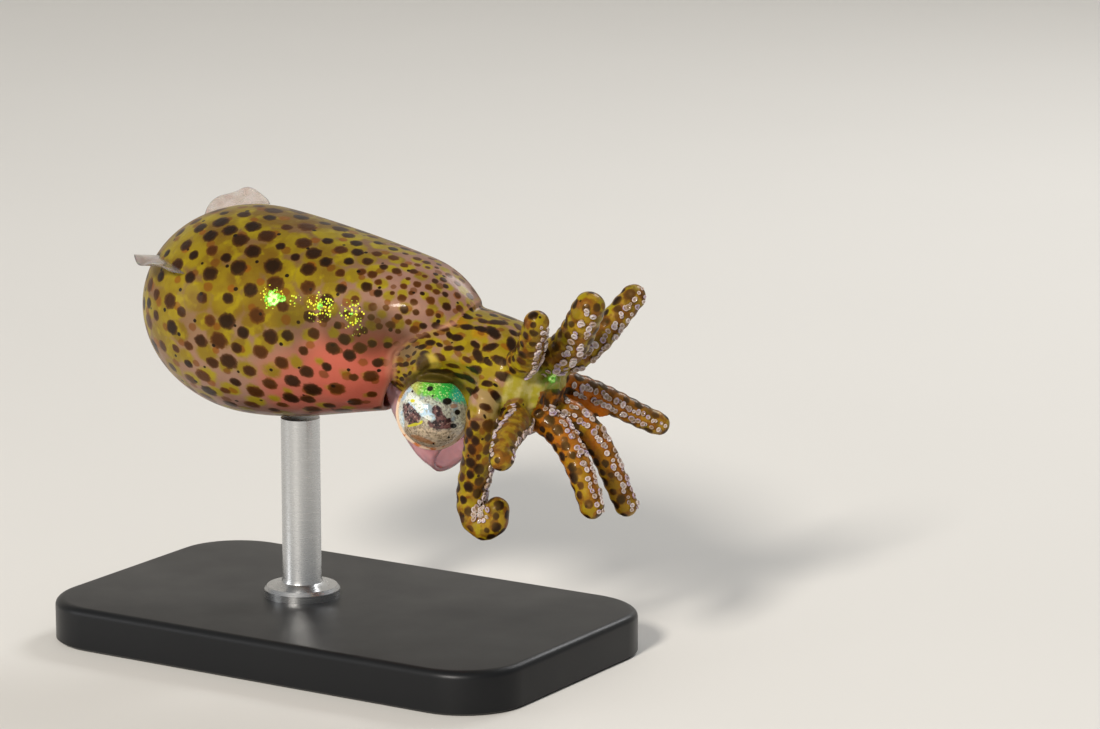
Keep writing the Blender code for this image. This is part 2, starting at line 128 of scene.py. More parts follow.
def makeObject(name, verts, faces):
    mesh = bpy.data.meshes.new(name)
    mesh.from_pydata([tuple(v) for v in verts], [], faces)
    mesh.validate()
    thing = bpy.data.objects.new(name, mesh)
    bpy.context.scene.collection.objects.link(thing)
    facesOut(mesh)
    mesh.shade_smooth()
    return thing


def facesOut(mesh):                             # turns each closed shell's faces outwards
    bm = bmesh.new()
    bm.from_mesh(mesh)
    bmesh.ops.recalc_face_normals(bm, faces=bm.faces)
    bm.to_mesh(mesh)
    bm.free()


def bakeModifiers(thing):
    evaluated = thing.evaluated_get(bpy.context.evaluated_depsgraph_get())
    mesh = bpy.data.meshes.new_from_object(evaluated)
    thing.modifiers.clear()
    thing.data = mesh


def meshArrays(mesh):
    count = len(mesh.vertices)
    points, normals = np.empty(count * 3), np.empty(count * 3)
    mesh.vertices.foreach_get("co", points)
    mesh.vertex_normals.foreach_get("vector", normals)
    return points.reshape(-1, 3), normals.reshape(-1, 3)


def addAttribute(mesh, name, values):
    mesh.attributes.new(name, "FLOAT", "POINT").data.foreach_set("value", np.asarray(values, dtype=np.float32))


# material helpers

def hexColour(text):                            # sRGB hex to the linear colour that shaders take
    parts = [int(text[i:i + 2], 16) / 255 for i in (1, 3, 5)]
    return (*[c / 12.92 if c <= 0.04045 else ((c + 0.055) / 1.055) ** 2.4 for c in parts], 1.0)


def addNode(tree, kind, values=None, links=None, **settings):
    node = tree.nodes.new(kind)
    for key, value in settings.items():
        setattr(node, key, value)
    for socket, value in (values or {}).items():
        node.inputs[socket].default_value = value
    for socket, source in (links or {}).items():
        tree.links.new(source, node.inputs[socket])
    return node


def newMaterial(name, **shaderValues):          # a Principled material, its tree and its shader
    material = bpy.data.materials.new(name)
    material.use_nodes = True
    tree = material.node_tree
    shader = tree.nodes["Principled BSDF"]
    for socket, value in shaderValues.items():
        shader.inputs[socket.replace("_", " ")].default_value = value
    return material, tree, shader


def readField(tree, name):
    return addNode(tree, "ShaderNodeAttribute", attribute_name=name).outputs["Fac"]


def edge(tree, value, low, high):               # a soft step from 0 at low to 1 at high
    node = addNode(tree, "ShaderNodeMapRange", {1: low, 2: high}, {0: value}, interpolation_type="SMOOTHSTEP")
    return node.outputs[0]


def blendColour(tree, factor, below, above):    # above is a hex colour or another node's colour
    node = addNode(tree, "ShaderNodeMix", {}, {0: factor}, data_type="RGBA")
    for socket, colour in ((6, below), (7, above)):
        if isinstance(colour, str):
            node.inputs[socket].default_value = hexColour(colour)
        else:
            tree.links.new(colour, node.inputs[socket])
    return node.outputs[2]


def calculate(tree, operation, a, b):
    node = addNode(tree, "ShaderNodeMath", operation=operation)
    for socket, value in ((0, a), (1, b)):
        if isinstance(value, (int, float)):
            node.inputs[socket].default_value = value
        else:
            tree.links.new(value, node.inputs[socket])
    return node.outputs[0]


def noise(tree, coordinates, size, detail=3.0):     # size is one blotch in mm
    node = addNode(tree, "ShaderNodeTexNoise", {"Scale": 1 / (size * mm), "Detail": detail},
                   {"Vector": coordinates})
    return node.outputs["Fac"]


# arms, in the head's axes: place round the crown, length and radius in mm, and the directions each turns
# through, as degrees away from the head's axis and degrees round from the back
arms = {
    "arm_1_right": (22.5, 5.5, 0.62, ((30, 45), (70, 18), (70, 8))),
    "arm_2_right": (67.5, 9.0, 0.68, ((105, 85), (60, 140), (85, 195), (105, 180), (115, 165), (110, 155),
                                      (25, 165), (-45, 160), (-145, 165))),
    "arm_3_right": (112.5, 5.8, 0.62, ((5, 75), (110, 70), (40, 115))),
    "arm_4_right": (157.5, 6.8, 0.64, ((-30, 160), (60, 165), (60, 165))),
    "arm_1_left": (22.5, 6.0, 0.72, ((-5, 20), (80, 5), (62, 0))),
    "arm_2_left": (67.5, 6.0, 0.62, ((15, 85), (100, 50), (80, 65))),
    "arm_3_left": (112.5, 6.6, 0.60, ((70, 105), (55, 150), (45, 125))),
    "arm_4_left": (157.5, 7.4, 0.62, ((35, 75), (80, 190), (65, 170))),
}
crown = {"x": 5.5, "radius": 1.5, "z": -0.2, "tipShare": 0.80, "steps": 120, "rings": 46, "sides": 28}
# how each arm's flesh turns about its own line, in degrees at its root, middle and tip, and how full it is
armTwist = {"arm_1_right": (0, -15, -15), "arm_2_right": (0, 0, 125), "arm_3_right": (0, 40, 48),
            "arm_4_right": (0, 20, 25), "arm_1_left": (0, -30, -30), "arm_2_left": (0, -15, -15),
            "arm_3_left": (0, 6, 8), "arm_4_left": (0, -18, -22)}
armFullness = {"arm_1_right": 1.10, "arm_2_right": 1.12, "arm_3_right": 1.08, "arm_4_right": 1.06,
               "arm_1_left": 1.20, "arm_2_left": 1.12, "arm_3_left": 1.08, "arm_4_left": 1.06}
knobs = {"spacing": 0.62, "height": 0.055}      # low swellings along each arm, in mm and as a share


def headDirection(away, roundFromBack, side):
    a, b = math.radians(away), math.radians(roundFromBack)
    return np.array([math.cos(a), side * math.sin(a) * math.sin(b), math.sin(a) * math.cos(b)])


def armLine(name):                              # middle line, directions and mouth side of one arm
    place, length, radius, turns = arms[name]
    side = -1 if name.endswith("right") else 1
    steps = crown["steps"]
    outward = headDirection(90, place, side)
    turnVectors = [headDirection(away, angle, side) for away, angle in turns]
    degree = len(turns) - 1
    points = [np.array([crown["x"], 0, crown["z"]]) + outward * crown["radius"]]
    headings, orals = [], []
    twists = np.interp((np.arange(steps) + 0.5) / steps, (0.1, 0.55, 1.0), armTwist[name])
    oral = np.array([1.0, 0, 0]) - outward
    for k in range(steps):
        s = (k + 0.5) / steps
        heading = sum(v * (math.comb(degree, i) * (1 - s) ** (degree - i) * s**i)
                      for i, v in enumerate(turnVectors))
        heading /= np.linalg.norm(heading)
        oral = oral - heading * (oral @ heading)
        oral /= np.linalg.norm(oral)
        headings.append(heading)
        orals.append(oral)
        points.append(points[-1] + heading * length / steps)
    headings, orals = np.array(headings), np.array(orals)
    turn = np.radians(twists)[:, None]
    orals = orals * np.cos(turn) + np.cross(headings, orals) * np.sin(turn)
    return {"points": np.array(points), "headings": headings, "orals": orals, "length": length,
            "radius": radius * armFullness[name], "phase": place / 22.5}


def armFrame(arm, share):
    place = min(max(share, 0), 1) * crown["steps"]
    index = min(crown["steps"] - 1, int(place))
    part = place - index
    point = arm["points"][index] * (1 - part) + arm["points"][index + 1] * part
    heading, oral = arm["headings"][index], arm["orals"][index]
    return point, heading, oral, np.cross(heading, oral)


def armRadius(arm, share):
    swelling = knobs["height"] * math.sin(2 * math.pi * share * arm["length"] / knobs["spacing"] + arm["phase"])
    plain = arm["radius"] * (1 - (1 - crown["tipShare"]) * share**1.5) * (1 + swelling)
    left = (1 - share) * arm["length"]
    return plain if left >= plain else math.sqrt(max(0.0, plain**2 - (plain - left) ** 2))


armLines = {name: armLine(name) for name in arms}


def armShell(arm):
    tipShare = arm["radius"] * crown["tipShare"] / arm["length"]
    shares = list(np.linspace(0, 1 - tipShare, crown["rings"]))
    shares += [1 - tipShare * (1 - math.sin(math.radians(a))) for a in range(12, 90, 12)]
    rings = []
    for share in shares:
        point, heading, oral, sideways = armFrame(arm, share)
        radius = armRadius(arm, share)
        rings.append(ringPoints(point, sideways, oral, radius, radius * 0.97, crown["sides"]))
    return loftRings(rings, arm["points"][0], arm["points"][-1])


# the mantle: the same barrel as the solid, in mm
mantle = {"tailX": -14.9, "radius": 4.8, "tailLength": 5.8, "marginRadius": 3.3, "marginX": 0.5,
          "marginLine": ((0, 2.8), (30, 2.45), (50, 1.1), (72, 0.0), (100, -0.25), (142, -1.3), (180, -1.8)),
          "floorX": -2.7, "sides": 96,
          "lip": 0.20, "fold": 0.62, "foldTop": 0.36, "foldLength": 2.6}   # the edge bends in, open only below


def marginReach(degrees):                       # how far forward the edge reaches, by degrees round from the back
    turns, reach = zip(*mantle["marginLine"])
    return np.array([smoothCurve(turns, reach, turn) for turn in degrees])


def mantleRadius(distance):
    length = mantle["marginX"] - mantle["tailX"]
    if distance < mantle["tailLength"]:
        return mantle["radius"] * math.sqrt(1 - (1 - distance / mantle["tailLength"]) ** 2)
    share = (distance - mantle["tailLength"]) / (length - mantle["tailLength"])
    return mantle["radius"] - (mantle["radius"] - mantle["marginRadius"]) * share**1.5


def mantleShell():
    length = mantle["marginX"] - mantle["tailX"]
    angles = np.arange(mantle["sides"]) * (2 * math.pi / mantle["sides"])
    degrees = np.degrees(np.abs((angles + math.pi) % (2 * math.pi) - math.pi))
    slant = marginReach(degrees) - mantle["marginX"]

    bend = mantle["fold"] * smoothStep((np.cos(angles) + 0.85) / 0.6)
    bend = bend + mantle["foldTop"] * smoothStep((np.cos(angles) - 0.55) / 0.4)

    def ring(x, radius):
        return np.column_stack([x, radius * np.sin(angles), radius * np.cos(angles)])

    def outer(distance, radius, back=0.0):
        weight = smoothStep((distance / length - 0.35) / 0.65)
        part = np.clip((distance - length + mantle["foldLength"]) / mantle["foldLength"], 0, 1)
        inward = bend * part**2.2
        return ring(mantle["tailX"] + distance + slant * weight - back, radius - inward)

    tail = mantle["tailLength"]
    distances = [tail * (1 - math.cos(math.pi / 2 * k / 26)) for k in range(1, 26)]
    distances += list(np.linspace(tail, length - mantle["foldLength"], 34)[:-1])
    distances += list(length - mantle["foldLength"] * (1 - np.sin(np.linspace(0, math.pi / 2, 20)[:-1])))
    rings = [outer(d, mantleRadius(d)) for d in distances]
    lip = mantle["lip"] / 2
    for k in range(7):
        turn = math.pi * k / 6
        rings.append(outer(length, mantle["marginRadius"] - lip + lip * math.cos(turn), lip * (1 - math.sin(turn))))
    inner = mantle["marginRadius"] - mantle["lip"] - bend
    marginX = mantle["marginX"] + slant
    for share, narrow in ((0.3, 0.1), (0.6, 0.25), (0.85, 0.4), (0.97, 0.6), (1.0, 1.1)):
        rings.append(ring(marginX + (mantle["floorX"] - marginX) * share, inner - narrow))
    return loftRings(rings, (mantle["tailX"], 0, 0), (mantle["floorX"], 0, 0))


# the head: x, half width, half height and height of the middle, in mm; the first row is inside the mantle
headSections = ((-3.60, 1.90, 1.85, 0.15), (-2.05, 2.00, 1.95, 0.15), (-1.20, 2.20, 2.15, 0.10),
                (0.40, 2.50, 2.45, -0.15), (2.50, 2.75, 2.80, -0.40), (4.40, 2.45, 2.72, -0.18),
                (5.60, 2.30, 2.45, -0.10), (6.30, 2.10, 2.20, -0.15), (6.75, 1.65, 1.70, -0.20),
                (6.90, 1.10, 1.10, -0.20), (7.15, 0.80, 0.80, -0.20), (7.18, 0.55, 0.55, -0.20),
                (6.95, 0.25, 0.25, -0.20))
headRings = {"sides": 132, "perSection": 8}
lips = {"folds": 11, "depth": 0.09}


def headShell():
    xs, wide, high, middle = (list(column) for column in zip(*headSections))
    front = xs.index(6.30)
    rows = [xs[: front + 1], wide[: front + 1], high[: front + 1], middle[: front + 1]]
    stations = []
    for k in range(front):
        for part in np.arange(headRings["perSection"]) / headRings["perSection"]:
            x = xs[k] + (xs[k + 1] - xs[k]) * part
            stations.append((x, *[smoothCurve(rows[0], row, x) for row in rows[1:]]))
    stations += headSections[front:]
    rings = []
    for x, halfWidth, halfHeight, z in stations:
        ring = ringPoints((x, 0, z), (0, 1, 0), (0, 0, 1), halfWidth, halfHeight, headRings["sides"])
        if x > 6.8:                             # the lips' folds
            angle = np.arange(headRings["sides"]) * (2 * math.pi / headRings["sides"])
            ring[:, 1:] *= (1 + lips["depth"] * np.cos(angle * lips["folds"]))[:, None]
        rings.append(ring)
    return loftRings(rings, (-3.7, 0, 0.15), (6.85, 0, -0.2))


# eyes, in the head's axes: the left one's middle; gaze is where it looks
# lidLine is how high the upper lid's straight edge stands, as a share of the radius, and lidLean its slope
eye = {"at": (2.45, 2.50, -1.50), "radius": 1.56, "gaze": (0.50, 0.71, 0.49), "lidSide": 87, "lidLine": 0.86,
       "lidLean": 9, "lidThick": 0.13, "mound": (2.30, 2.02, -1.32), "moundRadius": 1.62,
       "lidSides": 96, "moundSides": 48}


def eyeAxes(side):                              # middle, gaze, up and forward of one eye
    at = np.array(eye["at"]) * (1, side, 1)
    gaze = np.array(eye["gaze"]) * (1, side, 1)
    gaze = gaze / np.linalg.norm(gaze)
    up = np.array([-0.12, 0, 1.0])
    up = up - gaze * (up @ gaze)
    up /= np.linalg.norm(up)
    return at, gaze, up, np.cross(gaze, up) * side


def moundShell(side):                           # flesh behind the eye, which it bulges from
    centre = np.array(eye["mound"]) * (1, side, 1)
    radius = eye["moundRadius"]
    rings = [ringPoints(centre + (radius * math.cos(a), 0, 0), (0, 1, 0), (0, 0, 1),
                        radius * math.sin(a), radius * math.sin(a), eye["moundSides"])
             for a in np.radians(np.arange(8, 180, 8))]
    return loftRings(rings, centre + (radius, 0, 0), centre - (radius, 0, 0))


def lidShell(side):                             # a cup of skin round the globe, straight over its top
    at, gaze, up, ahead = eyeAxes(side)
    rings = []
    widest = math.sin(math.radians(eye["lidSide"]))
    for k in range(eye["lidSides"]):
        turn = 2 * math.pi * k / eye["lidSides"]
        top = max(0.01, math.cos(turn - math.radians(eye["lidLean"])))
        edgeAngle = eye["lidSide"] if eye["lidLine"] / top > widest else math.degrees(math.asin(eye["lidLine"] / top))
        out = up * math.cos(turn) + ahead * math.sin(turn)
        section = [(angle, eye["radius"] + eye["lidThick"]) for angle in np.linspace(edgeAngle, 177, 22)]
        section += [(angle, eye["radius"] * 0.86) for angle in (176, 150, 118)]
        section.append((edgeAngle - 1, eye["radius"] * 0.9))
        rings.append(np.array([at + radius * (gaze * math.cos(math.radians(angle))
                                              + out * math.sin(math.radians(angle)))
                               for angle, radius in section]))
    return loftLoop(rings)


# the long arm's tip is rolled up tight: this closes the middle of the roll. From and to are shares along it
curl = {"arm": "arm_2_right", "from": 0.74, "to": 0.99, "radius": 0.62, "depth": 0.46}


def curlFrame():                                # middle of the roll and the way its flat side looks
    arm = armLines[curl["arm"]]
    shares = np.linspace(curl["from"], curl["to"], 24)
    line = np.array([armFrame(arm, share)[0] for share in shares])
    steps = np.diff(line, axis=0)
    flat = np.cross(steps[:-1], steps[1:]).sum(axis=0)
    return line.mean(axis=0), flat / np.linalg.norm(flat)


def curlShell():
    middle, flat = curlFrame()
    across = np.cross(flat, (0, 0, 1.0))
    across /= np.linalg.norm(across)
    rings = []
    for angle in np.radians(np.arange(12, 180, 12)):
        radius = curl["radius"] * math.sin(angle)
        rings.append(ringPoints(middle + flat * curl["depth"] * math.cos(angle), across, np.cross(flat, across),
                                radius, radius, 32))
    return loftRings(rings, middle + flat * curl["depth"], middle - flat * curl["depth"])


def clearEyes(head):                            # the head's skin drops behind the rim of each eye
    for side in (1, -1):
        at, gaze, up, ahead = eyeAxes(side)
        depth = (head - at) @ gaze
        across = np.linalg.norm(head - at - np.outer(depth, gaze), axis=1)
        limit = 0.06 * eye["radius"] + 1.6 * np.maximum(0, across - 1.04 * eye["radius"])
        drop = np.where(across < 1.8 * eye["radius"], np.minimum(0, limit - depth), 0)
        head = head + np.outer(drop, gaze)
    return head


# webs between neighbouring arms: how far they reach along the arms and their thickness in mm
web = {"reach": {"arm_4_left": 0.66, "arm_3_right": 0.32}, "usualReach": 0.28, "sag": 0.48, "thick": 0.22,
       "behind": 0.4, "stepsAlong": 11, "stepsAcross": 15}
crownOrder = ["arm_1_right", "arm_2_right", "arm_3_right", "arm_4_right",
              "arm_4_left", "arm_3_left", "arm_2_left", "arm_1_left"]


def webShell(a, b, fullReach):
    countU, countV = web["stepsAlong"], web["stepsAcross"]
    grid = np.zeros((countU, countV, 3))
    for i in range(countU):
        for j in range(countV):
            v = j / (countV - 1)
            reach = fullReach * (1 - web["sag"] * math.sin(math.pi * v))
            share = 0.02 + reach * i / (countU - 1)
            sides = [armFrame(arm, share)[0] - armFrame(arm, share)[2] * armRadius(arm, share) * web["behind"]
                     for arm in (a, b)]
            grid[i, j] = sides[0] * (1 - v) + sides[1] * v
    du, dv = np.gradient(grid, axis=0), np.gradient(grid, axis=1)
    normal = np.cross(du, dv)
    normal /= np.linalg.norm(normal, axis=2)[..., None] + 1e-9
    rings = []
    for i in range(countU):
        upper = grid[i] + normal[i] * web["thick"] / 2
        lower = grid[i] - normal[i] * web["thick"] / 2
        rings.append(np.vstack([upper, lower[::-1]]))
    return loftRings(rings, grid[0].mean(axis=0), grid[-1].mean(axis=0))


# the skin: one closed surface over mantle, head, lids, arms and webs
skinMesh = {"voxel": 0.075, "quickVoxel": 0.11, "smoothing": 12}


def makeSkin():
    parts = [placed(mantleShell(), bodyTurn)]
    headVerts, headFaces = headShell()
    headParts = [(clearEyes(headVerts), headFaces)]
    for side in (1, -1):
        verts, faces = moundShell(side)
        headParts += [(clearEyes(verts), faces), lidShell(side)]
    headParts += [armShell(arm) for arm in armLines.values()] + [curlShell()]
    for k, name in enumerate(crownOrder):
        reach = web["reach"].get(name, web["usualReach"])
        headParts.append(webShell(armLines[name], armLines[crownOrder[(k + 1) % 8]], reach))
    parts += [placed(shell, headTurn) for shell in headParts]
    skin = makeObject("squidSkin", *joined(parts))
    remesh = skin.modifiers.new("remesh", "REMESH")
    remesh.mode = "VOXEL"
    remesh.voxel_size = skinMesh["voxel"] * mm
    smooth = skin.modifiers.new("smooth", "SMOOTH")
    smooth.factor = 0.5
    smooth.iterations = skinMesh["smoothing"]
    bakeModifiers(skin)
    skin.data.shade_smooth()
    print("skin", len(skin.data.vertices), "points")
    return skin


skin = makeSkin()

# chromatophores: layers of spots in the skin. Sizes are radii in mm, spacing is from middle to middle.
# front, nape, face and arms are how large they are there, as shares of their size on the barrel; crowd is how
# much closer than their size they stand on head and arms.
spotLayers = {
    "yellow": {"seed": 11, "spacing": 1.10, "radius": (0.42, 0.66), "front": 0.6, "nape": 0.6, "face": 0.8,
               "arms": 0.7, "crowd": 1.0},
    "amber": {"seed": 23, "spacing": 1.20, "radius": (0.22, 0.32), "front": 0.7, "nape": 0.7, "face": 0.8,
              "arms": 0.75, "crowd": 0.75},
    "maroon": {"seed": 37, "spacing": 0.98, "radius": (0.24, 0.46), "front": 0.48, "nape": 0.42, "face": 0.84,
               "arms": 0.62, "crowd": 0.80},
    "ink": {"seed": 53, "spacing": 1.45, "radius": (0.08, 0.13), "front": 0.9, "nape": 0.9, "face": 0.9,
            "arms": 0.8, "crowd": 1.0},
}


rustyArms = ("arm_3_left", "arm_4_left", "arm_4_right")     # orange-brown, less so at their tips


def skinRegions(points, normals):               # where each point of the skin is on the animal
    body, head = toLocal(points, bodyTurn), toLocal(points, headTurn)
    tree = KDTree(8 * crown["steps"])
    names = list(armLines)
    for a, name in enumerate(names):
        for k in range(crown["steps"]):
            tree.insert(armLines[name]["points"][k], a * crown["steps"] + k)
    tree.balance()
    count = len(points)
    onArm, oral, rust = np.zeros(count), np.zeros(count), np.zeros(count)
    headings = np.zeros((count, 3))
    localNormals = normals @ headTurn
    for i in np.nonzero(head[:, 0] > 3.2)[0]:
        _, index, distance = tree.find(head[i])
        arm = armLines[names[index // crown["steps"]]]
        k = index % crown["steps"]
        share = k / crown["steps"]
        onArm[i] = smoothStep((arm["radius"] * 1.9 - distance) / (arm["radius"] * 0.7)) \
            * smoothStep((share - 0.12) / 0.16)
        oral[i] = localNormals[i] @ arm["orals"][k]
        if names[index // crown["steps"]] in rustyArms:
            rust[i] = smoothStep((1.05 - share) / 0.6)
        headings[i] = arm["headings"][k]
    radial = np.hypot(body[:, 1], body[:, 2])
    table = np.arange(0, 181, 3)
    marginX = np.interp(np.degrees(np.arctan2(np.abs(body[:, 1]), body[:, 2])), table, marginReach(table))
    onMantle = (body[:, 0] < marginX + 0.02) & ((radial > 2.55) | (body[:, 0] < -6))
    rust *= smoothStep((head[:, 0] - 5.7) / 0.6)
    mouth = smoothStep((head[:, 0] - 5.9) / 0.6) * (1 - onArm) * (1 - 0.8 * rust)
    nearEye = np.full(count, 9.0)               # mm from the globe, on the lids' rims and round them
    for side in (1, -1):
        at, gaze, up, ahead = eyeAxes(side)
        away = np.linalg.norm(head - at, axis=1)
        isFront = (head - at) @ gaze > -0.32 * away
        nearEye = np.where(isFront, np.minimum(nearEye, away - eye["radius"]), nearEye)
    return {"body": body, "head": head, "onArm": onArm, "oral": oral, "mouth": mouth,
            "onMantle": onMantle, "marginX": marginX, "radial": radial, "headings": headings @ headTurn.T,
            "rust": rust, "nearEye": nearEye}


points, normals = meshArrays(skin.data)
regions = skinRegions(points, normals)
print("regions done")


def spotSizes(layer):                           # size of a spot by its place: smaller forward, on arms and head
    body = regions["body"]
    forward = smoothStep((body[:, 0] + 5.5) / 6.0) * smoothStep((body[:, 2] + 1.5) / 4.0)
    size = 1 + (layer["front"] - 1) * forward
    alongHead = smoothStep((regions["head"][:, 0] - 0.8) / 3.6)
    size = np.where(regions["onMantle"], size, layer["nape"] + (layer["face"] - layer["nape"]) * alongHead)
    return size * (1 - regions["onArm"]) + layer["arms"] * regions["onArm"]


def scatterSpots(layer):                        # seeded draw of spot middles, kept apart by the spacing
    rng = np.random.default_rng(layer["seed"])
    sizes = spotSizes(layer)
    allowed = ((regions["onArm"] < 0.4) | (regions["oral"] < 0.72)) & (regions["mouth"] < 0.35) \
        & (regions["nearEye"] > 0.26)
    order = rng.permutation(np.nonzero(allowed)[0])[:60000]
    crowding = np.where(regions["onMantle"], 1.0, layer["crowd"])
    cell = layer["spacing"] * 1.05
    grid, chosen = {}, []
    for i in order:
        p = points[i] / mm
        gap = layer["spacing"] * sizes[i] * rng.uniform(0.84, 1.14) * crowding[i]
        key = tuple((p // cell).astype(int))
        clear = True
        for dx in (-1, 0, 1):
            for dy in (-1, 0, 1):
                for dz in (-1, 0, 1):
                    for q in grid.get((key[0] + dx, key[1] + dy, key[2] + dz), ()):
                        if (p[0] - q[0])**2 + (p[1] - q[1])**2 + (p[2] - q[2])**2 < gap * gap:
                            clear = False
        if clear:
            grid.setdefault(key, []).append(p)
            chosen.append(i)
    low, high = layer["radius"]
    radii = rng.uniform(low, high, len(chosen)) * sizes[chosen]
    tones = rng.random(len(chosen))
    return np.array(chosen), radii, tones


def spotField(chosen, radii, tones, stretch):   # 1 in a spot's middle, 0 at its edge, less outside
    tree = KDTree(len(chosen))
    for k, i in enumerate(chosen):
        tree.insert(points[i] / mm, k)
    tree.balance()
    near = np.zeros((len(points), 4), dtype=int)
    for i, p in enumerate(points / mm):
        near[i] = [found[1] for found in tree.find_n(p, 4)]
    best, tone = np.full(len(points), -9.0), np.zeros(len(points))
    for k in range(4):
        spot = chosen[near[:, k]]
        delta = (points - points[spot]) / mm
        along = np.einsum("ij,ij->i", delta, stretch["axis"][spot])
        squash = stretch["amount"][spot]
        distance = np.sqrt(np.maximum(0, (delta**2).sum(axis=1) - along**2 + (along / squash)**2))
        distance *= np.sqrt(squash)
        facing = np.einsum("ij,ij->i", normals, normals[spot]) > 0.15
        value = np.where(facing, 1 - distance / radii[near[:, k]], -9.0)
        better = value > best
        best, tone = np.where(better, value, best), np.where(better, tones[near[:, k]], tone)
    return np.clip(best, -2, 1), tone


def paintSpots():
    headAxis = headTurn[:, 0]
    axis = headAxis - normals * (normals @ headAxis)[:, None]
    onArm = regions["onArm"][:, None]
    axis = axis * (1 - onArm) + regions["headings"] * onArm
    axis /= np.linalg.norm(axis, axis=1)[:, None] + 1e-9
    # each spot's long axis leans a little; behind the eye they rise forwards
    lean = np.random.default_rng(7).normal(0, 0.30, len(points))
    lean -= 0.5 * np.sign(regions["head"][:, 1]) * smoothStep((2.6 - regions["head"][:, 0]) / 2)
    lean = lean[:, None] * ~regions["onMantle"][:, None]
    axis = axis * np.cos(lean) + np.cross(normals, axis) * np.sin(lean)
    isHead = (~regions["onMantle"]) & (regions["onArm"] < 0.5)
    stretch = {"axis": axis, "amount": np.where(isHead, 2.1, 1.15)}
    for name, layer in spotLayers.items():
        chosen, radii, tones = scatterSpots(layer)
        field, tone = spotField(chosen, radii, tones, stretch)
        addAttribute(skin.data, name + "Field", field)
        addAttribute(skin.data, name + "Tone", tone)
        print(name, len(chosen), "spots")


paintSpots()

# broad areas of colour, each a soft ball: x, y, z and reach in mm, and strength. The barrel's are the same
# on both sides; the head's green spot and the orange web are single.
tints = {
    "pink": ((-2.1, -3.8, -0.4, 2.0, 1.0), (-0.5, -3.5, 0.1, 1.7, 1.0), (-4.5, -3.9, -1.4, 1.8, 0.8),
             (-1.5, -2.6, -2.6, 2.2, 0.8)),
    "pale": ((-8.2, -4.7, 0.6, 1.9, 1.0), (-6.6, -4.6, -0.4, 2.0, 1.0), (-5.6, -3.9, 2.2, 0.9, 0.9),
             (-1.6, -2.4, 3.4, 2.0, 0.6), (0.8, -1.9, 2.9, 1.9, 0.4), (-10.6, -4.0, -1.2, 2.2, 0.9)),
    "organ": ((-0.8, -3.0, 1.9, 1.1, 1.0), (-2.2, -3.3, 2.0, 0.9, 0.8), (0.3, -2.9, 1.4, 0.9, 0.9),
              (-4.3, -3.8, 2.2, 0.9, 0.6)),
    # paintedGlint: green spots with a pale painted highlight and a painted glow, drawn in the skin's material
    "paintedGlint": ((-5.65, -3.5, 2.9, 0.34, 1.0), (-5.15, -3.45, 2.95, 0.18, 0.8), (-3.3, -3.2, 2.8, 0.15, 0.8),
              (-1.8, -3.0, 2.6, 0.12, 0.7)),
    "glitter": ((-5.7, -3.5, 2.9, 0.55, 1.0), (-4.6, -3.3, 3.0, 0.34, 0.7), (-3.3, -3.2, 2.8, 0.62, 1.0),
                (-1.8, -3.0, 2.6, 0.58, 0.9), (-1.4, -3.3, 2.1, 0.42, 0.7), (0.1, -3.0, 1.9, 0.28, 0.8)),
    "olive": ((-13.0, -2.5, 1.0, 3.5, 0.8), (-8.5, -1.0, 4.6, 5.0, 1.0), (-4.0, -0.6, 4.4, 2.4, 0.7),
              (-10.5, -4.0, 2.2, 2.2, 0.8)),
}


# the same on the head: the dark mark over each eye with its pale ring, and the light skin before it
headMarks = {
    "browRing": ((2.30, -2.45, 0.85, 0.55, 1.0), (1.7, -2.45, 0.35, 0.30, 0.6)),
    "browSpot": ((1.92, -2.47, 0.82, 0.42, 1.0), (1.80, -2.5, 0.55, 0.22, 0.9)),
    "lilac": ((5.9, -2.8, 0.4, 0.8, 0.7), (5.4, -3.0, -0.9, 0.8, 0.6), (4.7, -2.4, 0.3, 0.7, 0.6),
              (7.1, -0.2, -0.6, 0.5, 0.6)),
    "nape": ((0.2, -1.9, 1.7, 1.5, 0.8), (1.9, -1.2, 2.1, 0.8, 0.5)),
}
# the green spot's core is drawn with the painted glints: a pale painted highlight and a painted glow
crownGlow = {"at": (7.18, 0.30, 0.64), "core": 0.30, "halo": 0.85}     # a bright green spot beside the mouth


